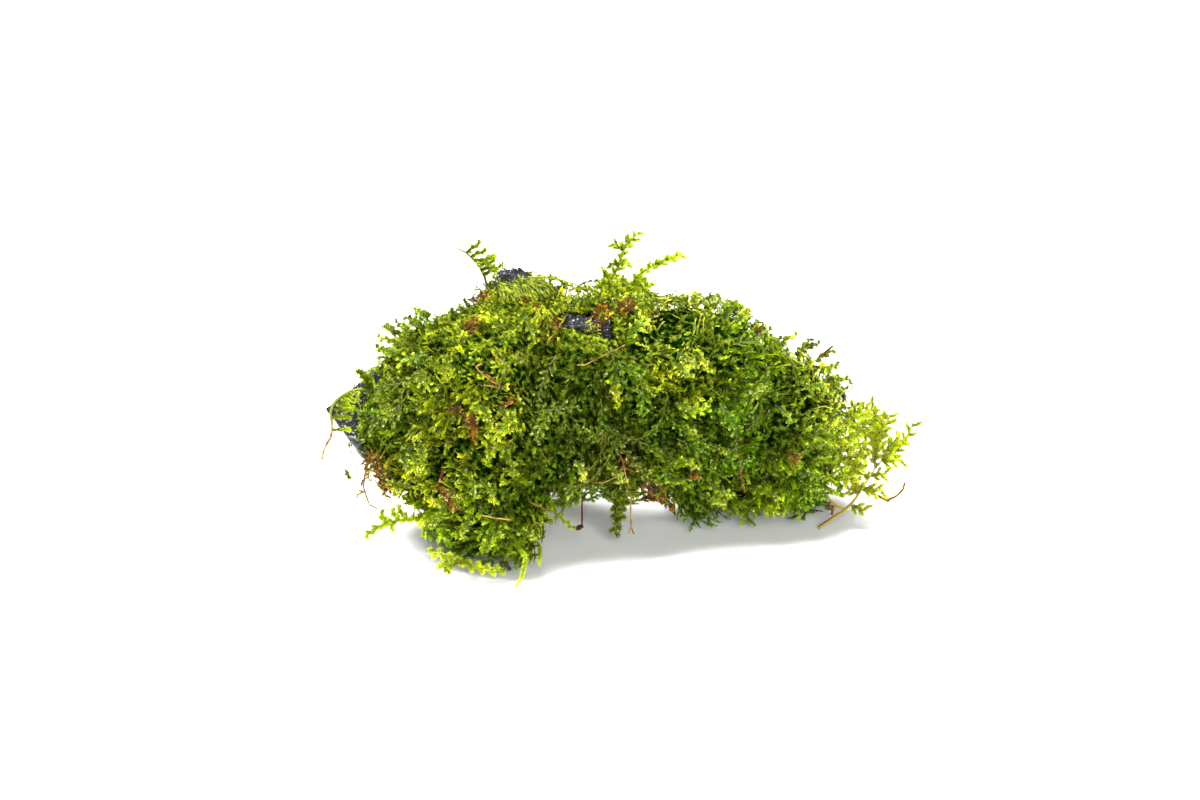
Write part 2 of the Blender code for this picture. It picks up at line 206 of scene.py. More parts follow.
# Size of the leaves at the base, the middle and the tip of a strand. Old stems with few leaves
# are bare or trailing ones, and every leafy strand may have side shoots.
BARE = (0.3, 0.5, 0.45)
LEAFY = (0.8, 1.05, 0.6)
FULL = (1.0, 1.3, 0.9)
TUFT = (0.9, 1.1, 0.6)
TRAIL = (0.7, 0.4, 0.15)
SIDE = (0.8, 1.0, 0.6)

# Half thickness in mm of the stems of shoots in the moss, of leafy strands and of old stems
SHOOT_STEM = 0.13
LEAFY_STEM = 0.18
OLD_STEM = 0.4

# The gap between the rings of a stem's mesh, and the places along the stem of a shoot
STEM_RING_GAP = 1.8 * MM
STEM_STEPS = 6

# Free strands of each frond, as in the CAD part: leaf sizes, then places from base to tip
FRONDS = {
    "frond_upper_left": (
        (BARE, (-22.3, 20.5, 2), (-22.6, 22.8, 3), (-23.2, 24.9, 3.5), (-24.1, 26.6, 4),
         (-25.6, 28.4, 4.5), (-27, 29.6, 5), (-28.6, 30.4, 5.5)),
        (LEAFY, (-26.8, 29.4, 5), (-25.2, 30.6, 4.8), (-23.9, 31.5, 4.6)),
        (LEAFY, (-25.9, 28.7, 4.6), (-24.3, 29.4, 4.2), (-22.8, 29.9, 4)),
        (LEAFY, (-24.9, 27.5, 4.3), (-22.8, 28, 3.6), (-20.9, 28.6, 3)),
        (LEAFY, (-24, 26.2, 4), (-21.8, 26.4, 3), (-19.8, 26.6, 2)),
    ),
    "frond_top_middle": (
        (LEAFY, (0.6, 19.5, 1), (1.4, 21.9, 1.5), (2.3, 24.4, 2), (3.5, 26.4, 2.5),
         (4.3, 28.6, 3), (4.9, 30.5, 3.5), (6, 31.8, 4), (7.7, 33.6, 4.5)),
        (LEAFY, (4.6, 29.8, 3.3), (3.6, 30.8, 3), (2.4, 31.3, 2.6)),
        (LEAFY, (3.7, 26.9, 2.6), (2.8, 27.3, 2), (1.7, 27.3, 1.5)),
        (LEAFY, (3.9, 27.5, 2.7), (4.9, 27.4, 3.6), (5.9, 27.5, 4.4)),
        (LEAFY, (2.2, 24.1, 2), (1.5, 24.7, 1.2), (0.6, 24.9, 0.4)),
        (LEAFY, (4.8, 30.3, 3.4), (5.7, 31.5, 3.9), (6.6, 32.5, 4.2)),
    ),
    "frond_top_right": (
        (LEAFY, (5.6, 19.5, 3), (6.3, 22.4, 4), (7.3, 24.6, 4.6), (9.2, 26.1, 5.2), (11.5, 27.2, 6)),
        (FULL, (10.2, 26.6, 5.6), (13.6, 28.1, 6.6), (16.5, 29.2, 7.4)),
        (LEAFY, (7.3, 24.6, 4.6), (8.8, 23.8, 5), (10.2, 22.7, 5.6)),
    ),
    "sprig_right": (
        (BARE, (43.8, -25.6, 2.6), (46.8, -23.5, 3.6), (49.2, -22.1, 4.4), (51.2, -19.7, 5.2),
         (52.4, -17.7, 6), (53.9, -15.6, 6.6), (55.2, -13.4, 7.2), (56.7, -11.8, 7.6)),
        (LEAFY, (56.2, -12.2, 7.5), (58.9, -10.2, 7.8), (60.8, -8.5, 8), (61.8, -6.6, 8.2),
         (62.5, -4.7, 8.4)),
        (LEAFY, (56.3, -12.1, 7.5), (58.6, -12.1, 7), (60.5, -12, 6.6)),
        (LEAFY, (58, -10.9, 7.7), (59, -9, 8.6), (60, -7.6, 9.4)),
        (LEAFY, (55, -13.7, 7.1), (55.1, -10.2, 6.4), (56.2, -7.2, 6), (57.7, -3.5, 5.8)),
        (LEAFY, (54.2, -15.2, 6.7), (55.8, -14.8, 6.2), (57.3, -14.8, 5.8)),
        (LEAFY, (51.6, -19, 5.5), (50.2, -14.6, 4.8), (48.6, -12, 4.6), (45.6, -9.6, 5)),
        (LEAFY, (52.6, -17.4, 6), (54.8, -18, 5), (56.7, -18.2, 4.4)),
        (BARE, (52.4, -17.8, 6), (55.6, -19.2, 7), (57.7, -20.2, 7.6), (59.4, -19.2, 8),
         (60.6, -17.9, 8.4), (61, -16.5, 8.6)),
        (LEAFY, (51.6, -18.8, 5.4), (50.4, -17.9, 4), (49.2, -17.6, 3)),
        (LEAFY, (50.2, -21, 4.7), (51.7, -21.6, 3.6), (53, -22.1, 2.8)),
        (BARE, (49.4, -22, 4.5), (46.8, -20.8, 5.6), (45.2, -18.9, 6.6), (43.6, -16.8, 8)),
    ),
    "sprig_right_upper": (
        (BARE, (45.6, -1.9, 7), (47.8, -2.2, 8.4), (49.8, -3.1, 9.6), (51.9, -5.3, 10.8),
         (54.1, -6.9, 11.6)),
        (LEAFY, (51.7, -5, 10.7), (53.2, -2.8, 11), (54.8, -1.2, 11.4)),
        (LEAFY, (49.8, -3.1, 9.6), (51, -1.4, 9.6), (51.6, -0.4, 9.6)),
        (LEAFY, (53.8, -6.7, 11.5), (55.2, -4.6, 12.2), (55.7, -3, 12.6)),
    ),
    "frond_lower_left": (
        (LEAFY, (-33.4, -22.9, -14), (-35.8, -23.5, -14.6), (-38.1, -23.9, -15.2),
         (-40.5, -24.1, -15.8), (-42.8, -24.7, -16.4)),
        (LEAFY, (-42.3, -24.6, -16.2), (-45, -25.8, -17), (-46.9, -27.2, -17.8)),
        (LEAFY, (-42.6, -24.7, -16.3), (-43.4, -23.3, -16), (-43.9, -22.3, -15.8)),
        (LEAFY, (-40.3, -24.1, -15.8), (-41.2, -22.7, -15.2), (-41.7, -21.9, -15)),
        (LEAFY, (-38.8, -24, -15.4), (-40, -22.2, -14.4), (-40.5, -21, -14)),
        (LEAFY, (-41, -24.2, -16), (-41.5, -25, -16.6), (-41.9, -25.8, -17)),
    ),
    "frond_foot_left": (
        (LEAFY, (-26.2, -32.6, -21), (-28.6, -32.2, -24.5), (-31, -31, -25), (-34, -30.5, -24)),
        (LEAFY, (-27.9, -32.3, -23.8), (-25.6, -33.2, -25.2), (-22.6, -33.8, -25.6),
         (-19.6, -33.8, -25.4)),
        (LEAFY, (-28.4, -32.3, -24.3), (-30, -33, -24.8), (-32.2, -32.8, -24.6)),
    ),
    "frond_foot_hanging": (
        (LEAFY, (-17.6, -26.6, -24), (-16.2, -29.6, -27), (-14.9, -31.4, -28), (-15.2, -33.9, -29.4),
         (-15.8, -35.7, -30.4), (-16.7, -37.2, -31)),
    ),
    "frond_foot_right": (
        (LEAFY, (-13.4, -27.4, -17), (-12.1, -29, -19.6), (-12, -31, -20.6), (-12.2, -33, -21.4)),
    ),
    "frond_arch_left": (
        (LEAFY, (-11, -20.6, -9), (-9, -22.4, -11.4), (-7, -24.2, -12.4), (-5.2, -25.8, -13)),
    ),
    "tuft_under_arch": (
        (TUFT, (3.8, -15.5, -6), (3.8, -19, -6), (3.7, -22, -6), (3.7, -24.6, -6), (3, -26.7, -6)),
        (TUFT, (2.6, -15.5, -5), (2.8, -18, -5.6), (3.2, -21, -6.4), (2.9, -24, -6.6)),
        (TUFT, (5, -15.5, -7), (4.8, -18, -6.6), (4.5, -21, -6), (4.3, -23.4, -5.6)),
    ),
    "frond_stone_tip": (
        (TRAIL, (-47.6, 2.2, -6), (-49.9, 1.9, -6), (-52.2, 0.5, -5.4), (-53.5, -0.9, -5),
         (-53.9, -2.4, -4.6), (-53.7, -4.3, -4.6), (-53.6, -6.2, -4.8), (-53.9, -7.6, -4.6),
         (-54.8, -9, -4.2), (-55.3, -10.4, -4), (-55.6, -12, -3.8)),
        (FULL, (-53.7, -5.8, -4.8), (-52.1, -6.1, -6), (-50, -5.7, -7)),
        (FULL, (-53.8, -3.4, -4.6), (-51.6, -3.4, -6.2), (-49.8, -3.5, -7.2)),
        (FULL, (-52.8, -0.3, -5.3), (-51, -1.2, -6.6), (-49.2, -1.4, -7.4)),
        (FULL, (-51.2, 1.2, -5.8), (-49.9, 0.2, -6.8), (-48.4, -0.2, -7.4)),
    ),
    "dead_strand_left": (
        (TRAIL, (-45.4, -10, -5), (-46.7, -12.6, -6), (-46.9, -14.7, -6.4), (-47.6, -16.9, -6.4),
         (-47, -18.4, -6.4), (-46.6, -20.1, -6.4), (-46, -21.3, -6.4), (-44.5, -21.8, -6.2)),
    ),
}

# Strands without leaves: places, each with its half thickness in mm
FIBRE_UNDER_ARCH = (
    ((5.4, -16.4, -12, 0.16), (6.2, -19.3, -11.6, 0.16), (6.1, -22.6, -11.2, 0.14),
     (6.2, -25.4, -11, 0.14), (6.8, -26.8, -11, 0.2)),
    ((6.2, -25.2, -11, 0.14), (5.9, -26.2, -11, 0.14), (5.8, -26.8, -11, 0.1)),
)
SPORE_STALK = (
    ((-3.6, -18, -9, 0.16), (-3.6, -21.6, -9.5, 0.16), (-3.6, -25.2, -9.5, 0.16)),
    ((-3.4, -25.2, -9.5, 0.3), (-4.2, -25.5, -9.3, 0.6), (-4.9, -25.8, -9.1, 0.3)),
)

# The colours of stems
WOODS = {
    "dark": (0.05, 0.045, 0.012),
    "olive": (0.14, 0.15, 0.02),
    "tan": (0.34, 0.22, 0.03),
    "russet": (0.22, 0.09, 0.015),
    "brown": (0.12, 0.05, 0.01),
    "earth": (0.03, 0.022, 0.004),
}

# What a leaf's tint is multiplied by: in the shade, in the light, and towards a shoot's base, where
# it is old and painted shade darkens it
SHADED = (0.12, 0.27, 0.08)
SUNLIT = (1.8, 1.55, 1)
WITHERED_AND_SHADED = (0.03, 0.09, 0.01)

# Wet specks on leaves, painted as pale glints: their colour, the cells of their pattern to a metre,
# how high a cell's chance must be, of 1.8, and how far a speck reaches in its cell
PAINTED_WET_GLINT = (0.9, 0.96, 0.5)
LEAF_CELLS = 2600
WET_GLINT_CHANCE = 1.22
WET_GLINT_SIZE = 0.42

# Leaves of each kind: the colour that shines through them, its share, how much of a shoot is
# darkened by age and painted shade, and the stem's colour. Fronds have stems of several colours.
LEAF_LOOKS = {
    "moss_leaves": ((0.45, 0.6, 0.004), 0.2, 2.6, "earth"),
    "plume_leaves": ((0.6, 0.7, 0.01), 0.35, 2.6, "olive"),
    "single_shoots": ((0.5, 0.66, 0.01), 0.25, 1.8, "olive"),
    "dead_leaves": ((0.3, 0.1, 0.01), 0.15, 2.6, "brown"),
    "frond_leaves": ((0.6, 0.74, 0.02), 0.5, 1.2, None),
}

# The stone's earthy film, the grey of faces that look down, its painted glints and their least
# chance
EARTH = (0.05, 0.045, 0.03)
DOWN_FACE_GREY = (0.32, 0.33, 0.36)
PAINTED_GLINT = (0.5, 0.5, 0.58)
SPECK_CHANCE = 1.42

# Pale and dark blotches of the bare strands
STRAND_COLOURS = {
    "tan": ((0.34, 0.20, 0.05), (0.10, 0.045, 0.01)),
    "russet": ((0.17, 0.07, 0.014), (0.05, 0.015, 0.005)),
    "red": ((0.10, 0.012, 0.005), (0.03, 0.004, 0.002)),
    "dark": ((0.03, 0.025, 0.012), (0.008, 0.006, 0.004)),
    "olive": ((0.20, 0.26, 0.03), (0.06, 0.08, 0.01)),
    "hair": ((0.20, 0.25, 0.012), (0.008, 0.01, 0.001)),
    "capsule": ((0.06, 0.01, 0.008), (0.02, 0.004, 0.003)),
}

# The mound of fine combed shoots in front of the knob, as the camera sees it in mm. They start
# up to the edge's width under its top, which slopes down to the left. Each runs to the right,
# drops and bulges off the surface by a length in its range.
MOUND_LEFT = -21.4
MOUND_RIGHT = -13
MOUND_TOP = 24.6
MOUND_EDGE = 1.6
MOUND_SLOPE = 1.2
MOUND_RUN = (0.8, 4.5)
MOUND_DROP = (1, 3.4)
MOUND_BULGE = (0.2, 2)
MOUND_HAIRS = 150
MOUND_SEED = 4
HAIR_POINTS = 4
HAIR_THICKNESS = (0.05, 0.13)

# Large plumes over the whole cushion: the range of their lengths, how far their side shoots
# reach, the lowest that one may start, how high its middle arches, how deep its ends lie, its
# leaves' length and spacing, and the breadth of its patches of tint, all in mm
PLUMES = 150
PLUME_SEED = 7
PLUME_POINTS = 5
PLUME_LENGTH = (6, 10)
PLUME_REACH = (1.6, 2.4)
PLUME_LOWEST = 6
PLUME_ARCH = 1.7
PLUME_DEPTH = 0.9
PLUME_LEAF = 0.7
PLUME_SPACING = 0.07
PLUME_PATCH = 4

# How dark and how bright a plume may be beside the green of its place
PLUME_STRENGTH = (0.5, 1.6)

# The leaf of the moss and that of the fronds and plumes: width and curl to its length
MOSS_LEAF = (0.46, 0.15)
FROND_LEAF = (0.42, 0.15)
FROND_PATCH = 3

# The gap between the side shoots of a frond along its stem
SIDE_GAP = 0.9 * MM

# How each frond looks: its leaves' length and spacing in mm, how far its side shoots reach in
# mm, its green, and the stem's colour
FROND_LEAVES = {
    "frond_upper_left": (0.8, 0.04, 0.9, "lime", "dark"),
    "frond_top_middle": (0.8, 0.045, 1.9, "lime", "dark"),
    "frond_top_right": (0.85, 0.045, 1.6, "lime", "dark"),
    "sprig_right": (0.85, 0.05, 2.6, "lime", "tan"),
    "sprig_right_upper": (0.85, 0.05, 2.6, "lime", "olive"),
    "frond_lower_left": (0.85, 0.045, 1.2, "lime", "olive"),
    "frond_foot_left": (0.9, 0.05, 1.6, "lime", "tan"),
    "frond_foot_hanging": (0.85, 0.05, 0, "fresh", "olive"),
    "frond_foot_right": (0.85, 0.06, 0, "lime", "tan"),
    "frond_arch_left": (0.7, 0.06, 0.8, "fresh", "olive"),
    "tuft_under_arch": (0.9, 0.06, 1.5, "dull", "dark"),
    "frond_stone_tip": (0.65, 0.05, 0.9, "fresh", "olive"),
    "dead_strand_left": (0.5, 0.09, 0, "rust", "russet"),
}

# Where a frond has another slot than fresh shoots
FROND_SLOTS = {"tuft_under_arch": "moss", "dead_strand_left": "dry_strand"}

# More shoots of the fronds than the CAD part has, between its stems, in the same way
MORE_SHOOTS = {
    "frond_upper_left": (
        (LEAFY, (-25.4, 28.2, 4.5), (-23.6, 27.8, 4), (-22, 28.6, 3.6), (-21.2, 29.2, 3.4)),
        (LEAFY, (-23.4, 25.2, 3.6), (-21.6, 25.8, 3), (-20.6, 26, 2.6)),
        (LEAFY, (-24.6, 27, 4), (-22.8, 27.2, 3.4), (-21, 27.8, 3)),
    ),
    "frond_top_middle": (
        (LEAFY, (0.8, 20, 1), (0.4, 22, 0.6), (0.2, 23.6, 0.4)),
        (LEAFY, (1.2, 21.4, 1.4), (3, 23, 1.8), (4.2, 24.4, 2)),
        (LEAFY, (1.8, 22.6, 1.6), (0.8, 24, 1), (1.2, 26, 1)),
        (LEAFY, (2.4, 20, 1.4), (3.4, 22, 1.6), (5, 24, 2)),
        (BARE, (1.4, 21.9, 2), (2.3, 24.4, 2.5), (3.5, 26.4, 3), (4.3, 28.6, 3.5), (4.9, 30.5, 4)),
    ),
    "frond_top_right": (
        (LEAFY, (5, 19.4, 3), (5.2, 21.6, 3.4), (5.6, 23.6, 3.6)),
        (LEAFY, (6.6, 23, 4.2), (8, 23, 4.6), (9, 22.2, 5)),
        (LEAFY, (5.6, 20.6, 3), (7.2, 21.2, 3.6), (9, 21.4, 4)),
    ),
    "frond_stone_tip": (
        (LEAFY, (-52.6, -0.8, -5.4), (-50.8, -0.2, -6.4), (-48.4, 0.2, -7)),
        (LEAFY, (-52, 0.2, -5.6), (-50.6, 1, -6.2), (-48.4, 1.6, -6.8)),
        (LEAFY, (-53.2, -1.8, -5), (-51.6, -1.8, -6.2), (-49.4, -2.2, -7)),
    ),
    "sprig_right": (
        (LEAFY, (47.8, -2.2, 6), (50.4, -4, 7), (52.4, -6.2, 8), (54.6, -7.6, 8), (56, -8, 8)),
        (LEAFY, (48.6, -4.6, 5), (50.4, -3.4, 5.5), (52, -2.6, 6), (53.4, -2.2, 6)),
        (LEAFY, (49, -8, 4), (51.4, -6.6, 5), (53.6, -4.4, 6), (55.4, -2.6, 6)),
        (LEAFY, (53.2, -12, 6), (52.2, -9.8, 5), (50.6, -8, 5), (48.4, -7, 5)),
        (LEAFY, (52.4, -14, 5), (51.6, -11.6, 5), (49.8, -9.6, 5), (47.4, -9, 5)),
        (LEAFY, (54.6, -12, 6), (54.8, -9.4, 6), (54, -7, 6), (52.6, -5.4, 6)),
        (LEAFY, (56.2, -12, 7), (57.6, -9.6, 7), (58.6, -8.6, 7), (60.4, -8, 7)),
        (LEAFY, (53.4, -16, 5), (52.4, -13.6, 5), (50.6, -12.2, 5), (48.6, -11.4, 5)),
        (LEAFY, (52, -18, 5), (51, -15.6, 4), (50.4, -13, 4), (49, -11, 4)),
        (LEAFY, (55, -9.4, 7), (56.4, -6.4, 7), (57.2, -5, 7), (58, -3, 7)),
        (LEAFY, (50, -3.6, 8), (51.2, -2.6, 8), (52.8, -1.6, 8)),
        (LEAFY, (53.6, -6.6, 9), (55, -5.2, 9), (56.2, -3.2, 9)),
        (LEAFY, (47.4, -12.4, 3), (48.6, -14.6, 3), (50, -16.4, 3)),
        (LEAFY, (46, -15.6, 3), (47.6, -15.8, 3), (49, -15.2, 3)),
        (LEAFY, (51.4, -5, 6), (51, -7.4, 5), (49.6, -9.4, 4)),
        (LEAFY, (53.4, -8, 6), (52.4, -10.6, 5), (51.6, -13, 4)),
        (LEAFY, (56, -10, 7), (55.6, -7, 7), (55.2, -5, 7)),
    ),
}

# Bare strands on the cushion and beside it: the kind, the half thickness in mm, and places.
# A place of two numbers lies where the camera sees it on the cushion.
FIBRES = (
    ("tan", 0.15, (-23.6, 7.2), (-24.8, 6.7), (-24.4, 6), (-23, 4.8), (-21.4, 3.6), (-20, 2.8)),
    ("tan", 0.11, (-22.8, 5.2), (-21.4, 4.2), (-20, 3.2)),
    ("tan", 0.11, (-23.2, 3), (-22, 2.8), (-20, 2.3)),
    ("tan", 0.12, (-21.4, 9.2), (-20, 8), (-18.8, 6.8)),
    ("tan", 0.1, (-16, 9.6), (-17.6, 8), (-18.4, 6.6), (-19, 5.2), (-19, 4.4)),
    ("tan", 0.1, (-4.6, 7), (-3, 7), (-1, 8), (1, 9), (3, 10), (5, 11)),
    ("tan", 0.1, (-2.8, -16), (-1.2, -16.5), (0.6, -16.6), (2, -16), (3.2, -15.4)),
    ("tan", 0.12, (-24, -23), (-21, -23.6), (-17.6, -24)),
    ("tan", 0.12, (-33.8, -19.4), (-33.2, -20.4), (-32, -21.2), (-31.2, -21.4)),
    ("tan", 0.12, (-8.8, 13.4), (-9.8, 12.6), (-10.6, 11.4)),
    ("tan", 0.12, (4.8, -13.6), (5.2, -15.4), (5.4, -16.4), (6.2, -19.3, -11.6)),
    ("russet", 0.12, (-14.2, -20.4), (-12.6, -21), (-11, -21.8), (-10.2, -22.4)),
    ("russet", 0.18, (-3.2, -13.6), (-2.6, -16), (-2.8, -18)),
    ("russet", 0.22, (27.8, -11), (28, -14), (28.4, -16), (29, -18.4)),
    ("russet", 0.24, (43.4, 8.2), (44.8, 9.4), (46.6, 10.8, 2)),
    ("tan", 0.32, (-53.7, -3.6, -4.6), (-53.6, -6.2, -4.8), (-53.9, -7.6, -4.6), (-54.8, -9, -4.2)),
    ("tan", 0.24, (-54.6, -8.6, -4.3), (-55.3, -10.4, -4), (-55.6, -11.8, -3.8)),
    ("russet", 0.32, (52.4, -17.8, 6), (54, -18.6, 6.5), (55.6, -19.2, 7), (57.7, -20.2, 7.6)),
    ("russet", 0.22, (57.4, -20, 7.5), (59.4, -19.2, 8), (60.6, -17.9, 8.4), (61, -16.5, 8.6)),
    ("red", 0.26, (-31.4, -14), (-31.6, -15), (-32, -16), (-32.4, -17.6)),
    ("red", 0.16, (-46.4, -15.4), (-47.6, -16.2), (-47.8, -17.4)),
    ("dark", 0.4, (-19, -32.4, -24), (-18.6, -33.2, -24), (-18, -34, -24)),
    ("dark", 0.12, (-47.4, -12.6), (-49.4, -13.3, -6), (-51, -13.8, -6)),
    ("olive", 0.16, (-14.4, 24.6), (-11, 24.6, 3), (-8, 23.8, 3), (-5, 23.2, 3), (-2, 22, 3)),
    ("olive", 0.12, (-6, 23.6, 3), (-7.8, 25, 3), (-9.2, 26, 3)),
    ("olive", 0.16, (-24.9, 21.6, 3), (-24.6, 23, 3), (-24.4, 24, 3)),
    ("olive", 0.16, (47.6, 2.4, 4), (49, 1.6, 4), (50, 1.8, 4), (50.6, 2.8, 4)),
)

# Dead leafy bits that lie in the moss: the green or brown, leaf length in mm, and places
DEAD_BITS = (
    ("rust", 0.7, (-2, 16.2), (-0.4, 17.6), (1.2, 19)),
    ("rust", 0.7, (-1.4, 15.2), (0.6, 15.6), (2, 16.8)),
    ("brown", 0.6, (-1.2, 18.4), (0.4, 18), (2, 17.6)),
    ("rust", 0.7, (-9.8, 16.4), (-9.2, 15.6), (-8.6, 14.4)),
    ("rust", 0.6, (-9, 17), (-8.2, 15.8), (-8, 14.8)),
    ("rust", 0.7, (-27, 14), (-26, 15.6), (-24, 16.4), (-22, 16.8)),
    ("brown", 0.7, (-26.4, 13.2), (-25.2, 15), (-24.4, 14.6)),
    ("rust", 0.7, (-26.6, 20), (-24.4, 20.6), (-22.4, 21.2)),
    ("rust", 0.8, (3, 17.6), (4.4, 19), (6.4, 20)),
    ("rust", 0.7, (4, 17.4), (5.6, 18.2), (7, 19.4)),
    ("brown", 0.8, (-30, -1), (-28, -2.4), (-26, -4), (-25.4, -6)),
    ("rust", 0.7, (-25.6, -2.4), (-25.2, -5), (-25.4, -8)),
    ("brown", 0.8, (-32.4, -17), (-30.8, -19.4), (-29, -22)),
    ("rust", 0.7, (-31.4, -17.4), (-30.4, -19.4)),
    ("rust", 0.8, (8, -17), (10, -17.4), (12, -19), (13, -20.4)),
    ("rust", 0.7, (8.2, -19.8), (10, -19.4), (12.4, -19.6)),
    ("brown", 0.7, (9.8, -16), (11, -17.6), (12, -19.4)),
    ("rust", 0.8, (13, -20), (14, -21.2), (14.6, -22)),
    ("straw", 0.8, (-47.4, -12.2), (-46.8, -13.6), (-46, -15)),
    ("rust", 0.7, (-46.6, -11.6), (-45.4, -13.2), (-44.4, -15)),
    ("brown", 0.7, (-45.8, -10), (-45, -12), (-44, -13.6)),
    ("straw", 0.7, (-44.8, -14.4), (-43.8, -16), (-43.2, -18), (-42.8, -19.4)),
    ("brown", 0.7, (-43.6, -13.6), (-42.8, -16), (-42.2, -18)),
    ("rust", 0.7, (-42.4, -14.6), (-41.8, -16.4), (-41.2, -18.4)),
    ("olive", 0.7, (-41.4, -15.6), (-41, -17), (-40.4, -19)),
    ("rust", 0.6, (-20, -0.8), (-18.8, -0.8), (-17.6, -0.4)),
    ("rust", 0.8, (31, 13.4), (31.6, 14), (32.4, 14.2)),
    ("brown", 0.6, (4, -11), (5.2, -14)),
    ("rust", 0.6, (18, -14), (19, -14.8), (19.6, -15.8)),
    ("rust", 0.7, (45.6, -20.4, 3), (46.2, -21.6, 3), (46.8, -22.4, 3)),
    ("rust", 0.7, (38, -10), (39, -11.4), (39.4, -12.6)),
    ("brown", 0.6, (-16.6, 20.4), (-14, 19.6), (-12, 18.4)),
)

